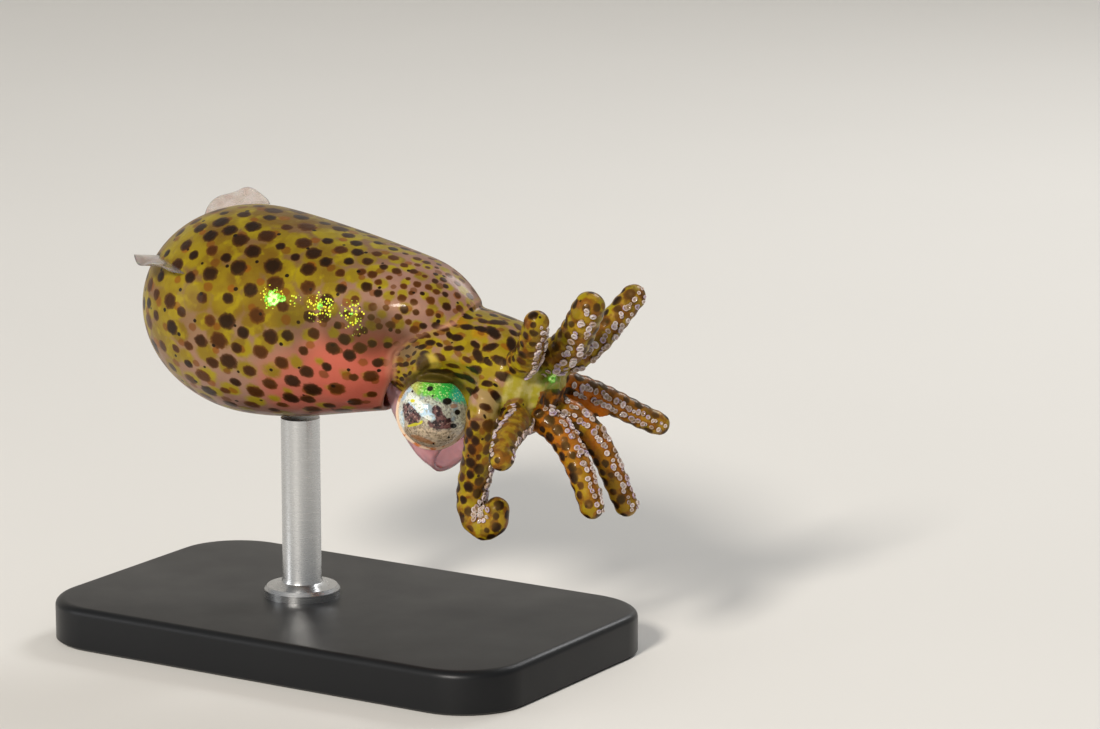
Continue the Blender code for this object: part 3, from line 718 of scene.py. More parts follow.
def paintTints():
    body = regions["body"]
    for name, balls in tints.items():
        total = np.zeros(len(points))
        for x, y, z, reach, strength in balls:
            for side in (1, -1):                # both sides of the animal alike
                distance = np.linalg.norm(body - np.array([x, y * side, z]), axis=1)
                total = np.maximum(total, strength * smoothStep(1.6 - distance / reach))
        addAttribute(skin.data, name, np.clip(total, 0, 1))
    lip = smoothStep(1 - np.abs(body[:, 0] - regions["marginX"]) / 0.30) * (regions["radial"] > 2.4)
    lip *= (regions["onArm"] < 0.1) * (regions["head"][:, 0] < 3.5)
    lip *= 1 - 0.8 * smoothStep((body[:, 2] - 0.8) / 1.2) * smoothStep((2.2 - body[:, 0]) / 0.5)
    addAttribute(skin.data, "marginLip", lip)
    addAttribute(skin.data, "mouth", regions["mouth"])
    for name, balls in headMarks.items():
        total = np.zeros(len(points))
        for x, y, z, reach, strength in balls:
            for side in (1, -1):
                distance = np.linalg.norm(regions["head"] - np.array([x, y * side, z]), axis=1)
                total = np.maximum(total, strength * smoothStep(2.6 - 2.2 * distance / reach))
        addAttribute(skin.data, name, total)
    away = np.linalg.norm(regions["head"] - np.array(crownGlow["at"]), axis=1)
    addAttribute(skin.data, "crownCore", smoothStep(1.5 - away / crownGlow["core"]))
    addAttribute(skin.data, "crownHalo", smoothStep(1.3 - away / crownGlow["halo"]))
    dark, pale = np.zeros(len(points)), np.zeros(len(points))
    lean = math.radians(eye["lidLean"])
    for side in (1, -1):                        # the lids: dark over the eye, pale behind and below it
        at, gaze, up, ahead = eyeAxes(side)
        local = regions["head"] - at
        away = np.linalg.norm(local, axis=1)
        rise = (local @ up * math.cos(lean) + local @ ahead * math.sin(lean)) / away
        behind = local @ -ahead / away
        near = smoothStep((eye["radius"] + 0.62 - away) / 0.35) * smoothStep((local @ gaze / away + 0.40) / 0.24)
        dark = np.maximum(dark, near * smoothStep((rise - 0.45) / 0.25))
        pale = np.maximum(pale, near * smoothStep((0.20 + 0.4 * behind - rise) / 0.4))
    addAttribute(skin.data, "lidDark", dark)
    addAttribute(skin.data, "lidPale", pale)
    addAttribute(skin.data, "rust", regions["rust"])
    share = np.linspace(0.15, 0.42, 6)
    webMiddle = np.array([(armFrame(armLines["arm_3_left"], s)[0] + armFrame(armLines["arm_4_left"], s)[0]) / 2
                          for s in share])
    away = np.min([np.linalg.norm(regions["head"] - middle, axis=1) for middle in webMiddle], axis=0)
    addAttribute(skin.data, "webOrange", smoothStep((1.15 - away) / 0.6))
    addAttribute(skin.data, "onArm", regions["onArm"])
    addAttribute(skin.data, "oralSide", regions["onArm"] * smoothStep((regions["oral"] - 0.1) / 0.5))
    addAttribute(skin.data, "onHead", ((~regions["onMantle"]) & (regions["onArm"] < 0.5)).astype(float))


paintTints()
print("skin painted")


def squidSkinMaterial():
    # Wet living skin over clear muscle: light goes a little way in, and a thin film of water lies on top.
    material, tree, shader = newMaterial("wetSquidSkin", Roughness=0.42, IOR=1.38, Specular_IOR_Level=0.3,
                                         Specular_Tint=hexColour("#ffcf96"),
                                         Subsurface_Weight=0.14, Subsurface_Scale=0.10 * mm,
                                         Subsurface_Radius=(1.0, 0.5, 0.3), Coat_Weight=0.20,
                                         Coat_Roughness=0.07, Coat_IOR=1.33, Sheen_Weight=0.06,
                                         Sheen_Roughness=0.20, Sheen_Tint=hexColour("#f39a68"))
    place = addNode(tree, "ShaderNodeTexCoord").outputs["Object"]

    def painted(name, share):                   # a painted field, weakened
        return calculate(tree, "MULTIPLY", readField(tree, name), share)

    def times(a, b):
        return calculate(tree, "MULTIPLY", a, b)

    blotch = edge(tree, noise(tree, place, 1.3), 0.35, 0.65)
    ground = blendColour(tree, blotch, "#765448", "#8a6658")
    ground = blendColour(tree, painted("pale", 0.85), ground, "#967464")
    ground = blendColour(tree, painted("pink", 0.9), ground, "#b05646")
    ground = blendColour(tree, painted("olive", 0.7), ground, "#5e4812")
    headGround = blendColour(tree, edge(tree, noise(tree, place, 0.9), 0.52, 0.66), "#84720c", "#866450")
    headGround = blendColour(tree, painted("nape", 0.8), headGround, "#7d5f4c")
    headGround = blendColour(tree, painted("lilac", 0.6), headGround, "#a08474")
    ground = blendColour(tree, painted("onHead", 0.95), ground, headGround)
    armGround = blendColour(tree, edge(tree, noise(tree, place, 0.45), 0.4, 0.60), "#937618", "#6c3f0a")
    armGround = blendColour(tree, painted("rust", 0.8), armGround, "#9a520a")
    ground = blendColour(tree, calculate(tree, "MAXIMUM", readField(tree, "onArm"), readField(tree, "rust")),
                         ground, armGround)

    ragged = times(calculate(tree, "SUBTRACT", noise(tree, place, 0.22, 2.0), 0.5), 0.5)
    fields = {name: calculate(tree, "ADD", readField(tree, name + "Field"), ragged) for name in spotLayers}
    # yellow cells, merging where the back is olive
    yellowTone = blendColour(tree, readField(tree, "yellowTone"), "#908008", "#74600a")
    ochreBack = times(readField(tree, "olive"), edge(tree, noise(tree, place, 2.6), 0.38, 0.58))
    yellowTone = blendColour(tree, times(ochreBack, 0.85), yellowTone, "#5e4208")
    ochreHead = times(readField(tree, "onHead"), edge(tree, noise(tree, place, 1.2), 0.54, 0.66))
    yellowTone = blendColour(tree, times(ochreHead, 0.6), yellowTone, "#9a620e")
    yellowTone = blendColour(tree, painted("rust", 0.72), yellowTone, "#8e4e0a")
    wide = calculate(tree, "ADD", fields["yellow"], painted("olive", 0.55))
    thin = calculate(tree, "MAXIMUM", painted("pink", 0.55), painted("lilac", 0.6))
    thin = calculate(tree, "MAXIMUM", thin, painted("pale", 0.22))
    cover = times(edge(tree, calculate(tree, "SUBTRACT", wide, thin), -0.15, 0.40), 0.92)
    colour = blendColour(tree, cover, ground, yellowTone)
    shine = times(edge(tree, noise(tree, place, 0.8), 0.52, 0.66), cover)
    colour = blendColour(tree, times(shine, 0.45), colour, "#9c8e0a")
    amberTone = blendColour(tree, readField(tree, "amberTone"), "#7a4208", "#58300a")
    colour = blendColour(tree, times(edge(tree, fields["amber"], 0.0, 0.35), 0.75), colour, amberTone)
    # brown blotches where the arms' cells run together
    blotches = times(edge(tree, noise(tree, place, 0.55, 4.0), 0.53, 0.60),
                     calculate(tree, "MAXIMUM", painted("onArm", 0.55), painted("rust", 0.75)))
    colour = blendColour(tree, blotches, colour, "#432408")
    # brown cells: a dark middle and a paler ring
    forward = calculate(tree, "MAXIMUM", readField(tree, "onHead"), readField(tree, "onArm"))
    dark = calculate(tree, "MAXIMUM", painted("olive", 0.45), times(forward, 0.5))
    age = calculate(tree, "SUBTRACT", readField(tree, "maroonTone"), dark)
    maroonTone = blendColour(tree, age, "#160903", "#4c2605")
    colour = blendColour(tree, times(edge(tree, fields["maroon"], -0.08, 0.14), 0.90), colour,
                         blendColour(tree, age, "#341806", "#62360c"))
    colour = blendColour(tree, times(edge(tree, fields["maroon"], 0.06, 0.42), 0.95), colour, maroonTone)
    colour = blendColour(tree, edge(tree, fields["ink"], 0.0, 0.3), colour, "#0c0603")
    colour = blendColour(tree, painted("organ", 0.70), colour, "#2a200a")

    # mouth side of the arms, the clear face round the mouth, the orange web and the mantle's edge
    colour = blendColour(tree, painted("oralSide", 0.16), colour, "#8a6c34")
    face = blendColour(tree, edge(tree, noise(tree, place, 0.5), 0.40, 0.62), "#98902a", "#b0a666")
    bare = times(edge(tree, readField(tree, "mouth"), 0.30, 0.70), 0.85)
    colour = blendColour(tree, bare, colour, face)
    halo = times(readField(tree, "crownHalo"), edge(tree, noise(tree, place, 0.3), 0.30, 0.55))
    colour = blendColour(tree, times(halo, 0.85), colour, "#68901c")
    for name, share, tone in (("browRing", 0.75, "#b09a3c"), ("browSpot", 0.92, "#2a1807"),
                              ("lidDark", 0.85, "#2c2710")):
        colour = blendColour(tree, painted(name, share), colour, tone)
    lidTone = blendColour(tree, edge(tree, noise(tree, place, 0.45), 0.56, 0.66), "#d6bca6", "#b0622e")
    colour = blendColour(tree, painted("lidPale", 0.85), colour, lidTone)
    ochre = calculate(tree, "SUBTRACT", readField(tree, "webOrange"), edge(tree, fields["maroon"], -0.1, 0.2))
    colour = blendColour(tree, times(ochre, 0.85), colour, "#bd660c")
    colour = blendColour(tree, painted("marginLip", 0.60), colour, "#b88068")

    # iridescent flecks about 0.1 mm across, thick in the middle of each cluster; they also get a painted glow below
    flecks = addNode(tree, "ShaderNodeTexVoronoi", {"Scale": 1 / (0.11 * mm)}, {"Vector": place})
    pick = addNode(tree, "ShaderNodeSeparateColor", {}, {0: flecks.outputs["Color"]})
    crowd = calculate(tree, "ADD", readField(tree, "glitter"), times(pick.outputs[0], 0.9))
    glowingFleckMask = times(edge(tree, flecks.outputs["Distance"], 0.50, 0.34), edge(tree, crowd, 1.18, 1.30))
    glowingFleckMask = times(glowingFleckMask, edge(tree, readField(tree, "glitter"), 0.05, 0.25))
    fleckColour = blendColour(tree, pick.outputs[1], "#d6c034", "#9ccc3a")
    colour = blendColour(tree, glowingFleckMask, colour, fleckColour)
    # painted glints: green spots with a pale yellow painted highlight at the core, also given a painted glow
    frayed = times(calculate(tree, "SUBTRACT", noise(tree, place, 0.14, 4.0), 0.5), 2.6)
    paintedGlint = calculate(tree, "ADD", calculate(tree, "MAXIMUM", readField(tree, "paintedGlint"),
                                             painted("crownCore", 0.95)), frayed)
    paintedGlintTone = blendColour(tree, edge(tree, paintedGlint, 0.75, 1.25), "#5cbc38", "#e0f4a0")
    within = edge(tree, calculate(tree, "MAXIMUM", readField(tree, "paintedGlint"), readField(tree, "crownCore")), 0.15, 0.40)
    paintedGlintMask = times(edge(tree, paintedGlint, 0.50, 0.72), within)
    colour = blendColour(tree, paintedGlintMask, colour, paintedGlintTone)
    glowingFleckMask = calculate(tree, "MAXIMUM", glowingFleckMask, paintedGlintMask)
    tree.links.new(colour, shader.inputs["Base Color"])
    tree.links.new(times(glowingFleckMask, 0.3), shader.inputs["Metallic"])
    # painted glow: the flecks and glints send out the skin's colour as light, though the skin is no lamp
    tree.links.new(colour, shader.inputs["Emission Color"])
    tree.links.new(times(glowingFleckMask, 0.18), shader.inputs["Emission Strength"])

    # fine wet grain, 0.12 mm, with the spots a little raised
    grain = noise(tree, place, 0.12, detail=4.0)
    height = calculate(tree, "ADD", times(grain, 0.5), times(edge(tree, fields["maroon"], -0.1, 0.4), 0.35))
    height = calculate(tree, "ADD", height, times(noise(tree, place, 0.40, 2.0), 1.6))
    height = calculate(tree, "ADD", height, painted("browRing", 2.5))
    bump = addNode(tree, "ShaderNodeBump", {"Strength": 0.55, "Distance": 0.025 * mm}, {"Height": height})
    tree.links.new(bump.outputs[0], shader.inputs["Normal"])
    rough = addNode(tree, "ShaderNodeMapRange", {3: 0.34, 4: 0.52}, {0: noise(tree, place, 0.7)})
    tree.links.new(rough.outputs[0], shader.inputs["Roughness"])
    return material


skin.data.materials.clear()
skin.data.materials.append(squidSkinMaterial())
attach(skin, "root")
fleshNodes = ["mantle", "head"] + [f"{name}_{part}" for name in arms for part in ("base", "tip")]
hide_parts(*fleshNodes)
print("skin ready")

# suckers: two rows of small pale cups along each arm, in mm
sucker = {"radius": 0.142, "tipShare": 0.6, "pitch": 0.235, "rowAngle": 18, "wideRows": {"arm_3_right": 58},
          "sides": 14, "uneven": 0.28, "seed": 5,
          "profile": ((0.70, -0.16), (0.72, 0.02), (0.98, 0.10), (1.06, 0.20), (0.96, 0.28), (0.78, 0.285),
                      (0.58, 0.25), (0.42, 0.21), (0.22, 0.19)),
          "curlCount": 46, "curlSpread": 56}    # in the middle of the rolled tip, and degrees they spread over


def suckerShell(foot, out, heading, radius, rng):   # a small cup on a short stalk
    across = np.cross(out, heading)
    across /= np.linalg.norm(across)
    heading = np.cross(across, out)
    flat = 1 + rng.uniform(-0.16, 0.16)
    rings = [ringPoints(foot + out * (height * radius / 0.36), across, heading, size * radius * flat,
                        size * radius / flat, sucker["sides"]) for size, height in sucker["profile"]]
    bottom = foot + out * (sucker["profile"][0][1] * radius / 0.36)
    dimple = foot + out * (0.185 * radius / 0.36)
    return loftRings(rings, bottom, dimple)


def makeSuckers():
    shells, rng = [], np.random.default_rng(sucker["seed"])
    for name, arm in armLines.items():
        last = 1 - 0.55 * arm["radius"] * crown["tipShare"] / arm["length"]
        for k in range(int(2 * arm["length"] / sucker["pitch"])):
            share = last - (k + rng.uniform(-0.25, 0.25)) * sucker["pitch"] / 2 / arm["length"]
            if share < 0.20:
                continue
            point, heading, oral, sideways = armFrame(arm, share)
            angle = math.radians(sucker["wideRows"].get(name, sucker["rowAngle"]) + rng.uniform(-6, 6))
            out = oral * math.cos(angle) + sideways * ((1 if k % 2 else -1) * math.sin(angle))
            out = out + heading * rng.uniform(-0.22, 0.22)
            out /= np.linalg.norm(out)
            radius = sucker["radius"] * (1 - (1 - sucker["tipShare"]) * share**2)
            radius *= (arm["radius"] / 0.68) ** 0.5 * (1 + rng.uniform(-1, 1) * sucker["uneven"])
            shells.append(suckerShell(point + out * armRadius(arm, share) * 0.97, out, heading, radius, rng))
    middle, flat = curlFrame()
    shape = np.array([curl["radius"], curl["radius"], curl["depth"]])
    side = np.cross(flat, (0, 0, 1.0))
    side /= np.linalg.norm(side)
    axes = np.array([side, np.cross(flat, side), flat])
    for face in (1, -1):
        for k in range(sucker["curlCount"]):
            away = math.radians(sucker["curlSpread"]) * math.sqrt((k + 0.5) / sucker["curlCount"])
            turn = k * 2.39996
            ball = np.array([math.sin(away) * math.cos(turn), math.sin(away) * math.sin(turn), face * math.cos(away)])
            out = (ball / shape) @ axes
            out /= np.linalg.norm(out)
            radius = sucker["radius"] * rng.uniform(0.45, 0.75)
            shells.append(suckerShell(middle + (ball * shape) @ axes, out, np.cross(out, axes[0] + 0.01), radius, rng))
    rows = makeObject("suckerRows", *placed(joined(shells), headTurn))
    # rim is 1 on the raised lip and 0 in the cup and on the stalk: painted highlight on the lip, painted shade below
    # it and in the hollow
    rim = np.array([0.0, 0.0, 0.5, 0.9, 1.0, 1.0, 0.5, 0.0, 0.0])
    one = np.concatenate([np.repeat(rim, sucker["sides"]), [0.0, 0.0]])
    addAttribute(rows.data, "rim", np.tile(one, len(shells)))
    addAttribute(rows.data, "tone", np.repeat(rng.random(len(shells)), len(one)))
    return rows


def suckerMaterial():
    # Soft clear muscle: pale lilac white, wet. The raised rim is lighter, partly its own milky colour and partly a
    # painted highlight; the cup and the stalk below the rim are darker, painted shade.
    material, tree, shader = newMaterial("suckerFlesh", IOR=1.38, Transmission_Weight=0.25, Subsurface_Weight=0.4,
                                         Subsurface_Scale=0.15 * mm, Subsurface_Radius=(1.0, 0.8, 0.8),
                                         Coat_Weight=0.7, Coat_Roughness=0.05, Coat_IOR=1.33)
    place = addNode(tree, "ShaderNodeTexCoord").outputs["Object"]
    # cup and stalk: darker, painted shade in the hollow and under the rim
    cup = blendColour(tree, readField(tree, "tone"), "#c0aca8", "#8c6e40")
    milkAndHighlight = blendColour(tree, readField(tree, "tone"), "#e4d8d6", "#ae9480")
    milkAndHighlight = blendColour(tree, edge(tree, noise(tree, place, 0.35), 0.50, 0.64), milkAndHighlight, "#b6a4c2")
    colour = blendColour(tree, readField(tree, "rim"), cup, milkAndHighlight)
    tree.links.new(colour, shader.inputs["Base Color"])
    rough = addNode(tree, "ShaderNodeMapRange", {3: 0.2, 4: 0.36}, {0: noise(tree, place, 0.2)})
    tree.links.new(rough.outputs[0], shader.inputs["Roughness"])
    bump = addNode(tree, "ShaderNodeBump", {"Strength": 0.3, "Distance": 0.01 * mm},
                   {"Height": noise(tree, place, 0.06)})
    tree.links.new(bump.outputs[0], shader.inputs["Normal"])
    return material


suckers = makeSuckers()
suckers.data.materials.append(suckerMaterial())
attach(suckers, "root")
print("suckers ready")


# the eyes: a silver globe with its pupil, under a clear cornea. On the globe x is forward and y up, in mm
# from the middle of the gaze.
globe = {"radius": 1.53, "corneaRadius": 1.555, "across": 220, "down": 140, "tilt": -18}
eyeMarks = {                                    # x, y, half width, half height, turn in degrees
    "pupil": ((-0.84, 0.02, 0.38, 0.60, 18), (0.38, -0.44, 0.58, 0.36, -14), (0.34, -0.02, 0.24, 0.36, 10)),
    "flap": ((-0.52, 0.42, 0.90, 0.24, -46), (-0.06, -0.08, 0.40, 0.22, -44)),
    "white": ((-1.08, 0.92, 0.52, 0.42, -20), (-0.52, 0.44, 0.92, 0.30, -46), (-0.06, -0.10, 0.36, 0.20, -44),
              (-1.34, 0.05, 0.16, 0.70, 0)),
    "gold": ((-0.76, -0.44, 0.36, 0.07, 6), (-0.42, -0.36, 0.12, 0.07, 40), (-0.72, 0.62, 0.12, 0.08, 0)),
    "blackSpot": ((0.80, 0.44, 0.21, 0.17, -10), (1.17, -0.08, 0.12, 0.13, 0), (0.94, -0.66, 0.15, 0.12, 0),
                  (0.09, 1.07, 0.15, 0.12, 0), (-0.72, 1.02, 0.06, 0.06, 0), (0.66, -1.14, 0.06, 0.05, 0),
                  (-0.05, -1.36, 0.05, 0.05, 0), (0.20, 0.74, 0.05, 0.05, 0)),
    "amberRim": ((-0.55, -1.10, 0.56, 0.12, -24), (1.06, 0.20, 0.15, 0.11, 0), (-0.20, -1.30, 0.30, 0.07, -12)),
}


def globeShell(side, radius):
    at, gaze, up, ahead = eyeAxes(side)
    rings = []
    for k in range(1, globe["down"]):
        polar = math.pi * k / globe["down"]
        centre = at + gaze * radius * math.cos(polar)
        rings.append(ringPoints(centre, ahead, up, radius * math.sin(polar), radius * math.sin(polar),
                                globe["across"]))
    return loftRings(rings, at + gaze * radius, at - gaze * radius)


def makeGlobe(side, word):
    ball = makeObject("eyeGlobe" + word, *placed(globeShell(side, globe["radius"]), headTurn))
    at, gaze, up, ahead = eyeAxes(side)
    local = toLocal(meshArrays(ball.data)[0], headTurn) - at
    x, y = local @ ahead, local @ up
    front = (local @ gaze) > 0
    for name, marks in eyeMarks.items():        # 1 in the middle of a mark, 0 at its edge
        best = np.full(len(x), -1.0)
        for markX, markY, halfWidth, halfHeight, turn in marks:
            c, s = math.cos(math.radians(turn)), math.sin(math.radians(turn))
            u, v = (x - markX) * c + (y - markY) * s, (y - markY) * c - (x - markX) * s
            best = np.maximum(best, 1 - np.hypot(u / halfWidth, v / halfHeight))
        addAttribute(ball.data, name, np.where(front, best, -1))
    c, s = math.cos(math.radians(globe["tilt"])), math.sin(math.radians(globe["tilt"]))
    addAttribute(ball.data, "upper", np.where(front, (y * c - x * s) / globe["radius"], 0))
    addAttribute(ball.data, "forward", (x * c + y * s) / globe["radius"])
    return ball


def irisMaterial():
    # Silver reflecting plates in the iris: metallic and finely broken, green and blue-green under the lid. It is also
    # given a painted glow.
    material, tree, shader = newMaterial("silverIris", IOR=1.4)
    place = addNode(tree, "ShaderNodeTexCoord").outputs["Object"]
    fine = noise(tree, place, 0.11, 4.0)
    broad = noise(tree, place, 0.45)
    wobble = calculate(tree, "MULTIPLY", calculate(tree, "SUBTRACT", noise(tree, place, 0.20), 0.5), 0.9)
    plates = addNode(tree, "ShaderNodeTexVoronoi", {"Scale": 1 / (0.07 * mm)}, {"Vector": place})
    plate = addNode(tree, "ShaderNodeSeparateColor", {}, {0: plates.outputs["Color"]}).outputs[0]

    def mark(name, low=-0.05, high=0.25):
        return edge(tree, calculate(tree, "ADD", readField(tree, name), wobble), low, high)

    silver = blendColour(tree, edge(tree, fine, 0.36, 0.64), "#948e7e", "#dcdac8")
    silver = blendColour(tree, edge(tree, broad, 0.48, 0.66), silver, "#9fb0b8")
    lower = edge(tree, readField(tree, "upper"), -0.05, -0.5)
    beige = blendColour(tree, edge(tree, fine, 0.34, 0.60), "#a08468", "#dcc2a2")
    silver = blendColour(tree, calculate(tree, "MULTIPLY", lower, 0.8), silver, beige)
    speckle = calculate(tree, "MULTIPLY", edge(tree, plate, 0.88, 0.92), calculate(tree, "MULTIPLY", lower, 0.5))
    silver = blendColour(tree, speckle, silver, "#5c4a3a")
    greenBand = edge(tree, calculate(tree, "ADD", readField(tree, "upper"),
                                     calculate(tree, "MULTIPLY", wobble, 0.35)), 0.40, 0.52)
    hue = blendColour(tree, edge(tree, readField(tree, "forward"), -0.62, -0.30), "#d8d870", "#7fdc4c")
    hue = blendColour(tree, edge(tree, readField(tree, "forward"), -0.10, 0.25), hue, "#3ccf58")
    hue = blendColour(tree, edge(tree, readField(tree, "forward"), 0.35, 0.62), hue, "#3cc8ac")
    hue = blendColour(tree, calculate(tree, "MULTIPLY", edge(tree, fine, 0.50, 0.62), 0.45), hue, "#2c6a1c")
    hue = blendColour(tree, calculate(tree, "MULTIPLY", edge(tree, plate, 0.80, 0.84), 0.7), hue, "#e8f4b0")
    silver = blendColour(tree, greenBand, silver, hue)
    bright = blendColour(tree, edge(tree, broad, 0.46, 0.60), "#f6f6ec", "#c8dcea")
    bright = blendColour(tree, calculate(tree, "MULTIPLY", edge(tree, fine, 0.50, 0.62), 0.75), bright, "#a8ac9c")
    whiteMask = mark("white")
    silver = blendColour(tree, whiteMask, silver, bright)
    mottle = blendColour(tree, edge(tree, noise(tree, place, 0.22, 2.0), 0.42, 0.62), "#341a22", "#8c5c58")
    mottle = blendColour(tree, calculate(tree, "MULTIPLY", edge(tree, plate, 0.88, 0.92), 0.45), mottle, "#ecc8b4")
    pupil = calculate(tree, "SUBTRACT", mark("pupil", -0.04, 0.16), mark("flap", 0.0, 0.2))
    colour = blendColour(tree, pupil, silver, mottle)
    colour = blendColour(tree, mark("gold"), colour, "#e3d92e")
    colour = blendColour(tree, calculate(tree, "MULTIPLY", mark("amberRim"), 0.7), colour, "#b4713a")
    colour = blendColour(tree, edge(tree, readField(tree, "blackSpot"), -0.1, 0.25), colour, "#120e10")
    tree.links.new(colour, shader.inputs["Base Color"])
    # painted glow: the iris sends out its own colour as light, strongest in the green band and weaker over the rest
    # outside the pupil
    tree.links.new(colour, shader.inputs["Emission Color"])
    paintedGlow = calculate(tree, "MAXIMUM", calculate(tree, "MULTIPLY", whiteMask, 0.12),
                    calculate(tree, "MULTIPLY", greenBand, 0.26))
    paintedGlow = calculate(tree, "MAXIMUM", paintedGlow, 0.16)
    tree.links.new(calculate(tree, "MULTIPLY", paintedGlow, calculate(tree, "SUBTRACT", 1.0, pupil)),
                   shader.inputs["Emission Strength"])
    metal = addNode(tree, "ShaderNodeMapRange", {3: 0.45, 4: 0.0}, {0: calculate(tree, "MAXIMUM", pupil, whiteMask)})
    tree.links.new(metal.outputs[0], shader.inputs["Metallic"])
    rough = addNode(tree, "ShaderNodeMapRange", {3: 0.25, 4: 0.5}, {0: fine})
    tree.links.new(rough.outputs[0], shader.inputs["Roughness"])
    bump = addNode(tree, "ShaderNodeBump", {"Strength": 0.7, "Distance": 0.02 * mm}, {"Height": fine})
    tree.links.new(bump.outputs[0], shader.inputs["Normal"])
    return material


def corneaMaterial():
    # Clear wet cornea: water-like, smooth.
    return newMaterial("clearCornea", Base_Color=hexColour("#f4f8f8"), Roughness=0.03, IOR=1.34,
                       Transmission_Weight=1.0)[0]


iris, clear = irisMaterial(), corneaMaterial()
for side, word in ((1, "Left"), (-1, "Right")):
    ball = makeGlobe(side, word)
    ball.data.materials.append(iris)
    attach(ball, "root")
    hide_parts("eye_" + word.lower())
    dome = makeObject("cornea" + word, *placed(globeShell(side, globe["corneaRadius"]), headTurn))
    dome.data.materials.append(clear)
    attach(dome, "root")
print("eyes ready")

# the funnel and the fins: clear flesh, in mm
funnel = {"line": ((-2.0, -0.2, -1.45), (-1.1, -0.3, -1.8), (-0.1, -0.5, -3.0), (1.0, -0.8, -4.1), (2.1, -1.0, -4.5)),
          "wide": (1.45, 1.5, 1.5, 1.3, 1.15), "high": (0.65, 0.75, 1.05, 1.15, 1.05),
          "wall": 0.22, "bore": 2.4, "sides": 56}
fin = {"x": -12.0, "angle": 42, "tilt": 66, "sweep": 14, "length": 3.2, "width": 3.0, "thick": 0.26, "wave": 0.10}


def funnelShell():
    line = np.array(funnel["line"])
    lengths = [0.0, *np.cumsum(np.linalg.norm(np.diff(line, axis=0), axis=1))]
    total = lengths[-1]

    def at(distance):
        point = np.array([smoothCurve(lengths, line[:, axis], distance) for axis in range(3)])
        return (point, smoothCurve(lengths, funnel["wide"], distance),
                smoothCurve(lengths, funnel["high"], distance))

    def ring(distance, inset):
        point, halfWidth, halfHeight = at(distance)
        ahead = at(min(distance + 0.1, total))[0] - at(distance - 0.1)[0]
        ahead /= np.linalg.norm(ahead)
        across = np.array([0, 1.0, 0]) - ahead * ahead[1]
        across /= np.linalg.norm(across)
        return ringPoints(point, across, np.cross(ahead, across), halfWidth - inset, halfHeight - inset,
                          funnel["sides"])

    rings = [ring(total * k / 28, 0.02) for k in range(29)]
    rings += [ring(total, funnel["wall"] * 0.5), ring(total - 0.03, funnel["wall"])]
    rings += [ring(total - funnel["bore"] * k / 8, funnel["wall"] + 0.02 * k) for k in range(1, 9)]
    deep = at(total - funnel["bore"] * 1.05)[0]
    return loftRings(rings, at(0.0)[0], deep)


def finShell(side):
    radius = mantleRadius(fin["x"] - mantle["tailX"])
    angle = math.radians(fin["angle"])
    turn = np.array(turnMatrix(side * (90 - fin["tilt"]), 0, side * fin["sweep"]))
    at = np.array([fin["x"], side * radius * math.sin(angle), radius * math.cos(angle)])
    profile = [(share, math.sqrt(max(0.0, 1 - share**3))) for share in np.linspace(0.08, 0.998, 22)]
    rings = []
    for share, level in profile + [(s, -l) for s, l in reversed(profile)]:
        ring = ringPoints((0, 0, 0), (1, 0, 0), (0, 1, 0), share * fin["length"] / 2, share * fin["width"] / 2, 80)
        wave = fin["wave"] * share**2 * np.sin(ring[:, 0] * 3.4 + side) * np.abs(ring[:, 1])
        ring[:, 2] = level * fin["thick"] / 2 * (1 - 0.55 * share) + wave
        rings.append(ring)
    verts, faces = loftRings(rings, (0, 0, fin["thick"] / 2), (0, 0, -fin["thick"] / 2))
    return verts @ turn.T + at, faces


def clearFleshMaterial(name, tint, edgeTint, clear):
    # Clear muscle, like wet gelatine: most light goes through, milky in its depth.
    material, tree, shader = newMaterial(name, IOR=1.36, Roughness=0.16, Transmission_Weight=clear,
                                         Subsurface_Weight=0.25, Subsurface_Scale=0.6 * mm,
                                         Coat_Weight=0.5, Coat_Roughness=0.06, Coat_IOR=1.33)
    place = addNode(tree, "ShaderNodeTexCoord").outputs["Object"]
    colour = blendColour(tree, edge(tree, noise(tree, place, 0.5), 0.35, 0.7), tint, edgeTint)
    tree.links.new(colour, shader.inputs["Base Color"])
    strands = addNode(tree, "ShaderNodeTexWave", {"Scale": 1 / (1.2 * mm), "Distortion": 1.5}, {"Vector": place})
    bump = addNode(tree, "ShaderNodeBump", {"Strength": 0.25, "Distance": 0.02 * mm},
                   {"Height": strands.outputs["Fac"]})
    tree.links.new(bump.outputs[0], shader.inputs["Normal"])
    return material


tube = makeObject("funnelTube", *placed(funnelShell(), headTurn))
tube.data.materials.append(clearFleshMaterial("funnelFlesh", "#f4bcc0", "#e4b6c0", 0.66))
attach(tube, "root")
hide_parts("funnel")
finFlesh = clearFleshMaterial("finFlesh", "#e6dcd6", "#d6c4ba", 0.85)
for side, word in ((1, "Left"), (-1, "Right")):
    blade = makeObject("fin" + word, *placed(finShell(side), bodyTurn))
    blade.data.materials.append(finFlesh)
    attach(blade, "root")
    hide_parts("fin_" + word.lower())
print("funnel and fins ready")

# the stand: a flat base and a turned rod, in mm
stand = {"length": 25.0, "width": 15.0, "height": 2.0, "corner": 3.0, "edge": 0.35,
         "rodX": -2.4, "rodRadius": 0.9, "footRadius": 1.75, "footHeight": 0.55}


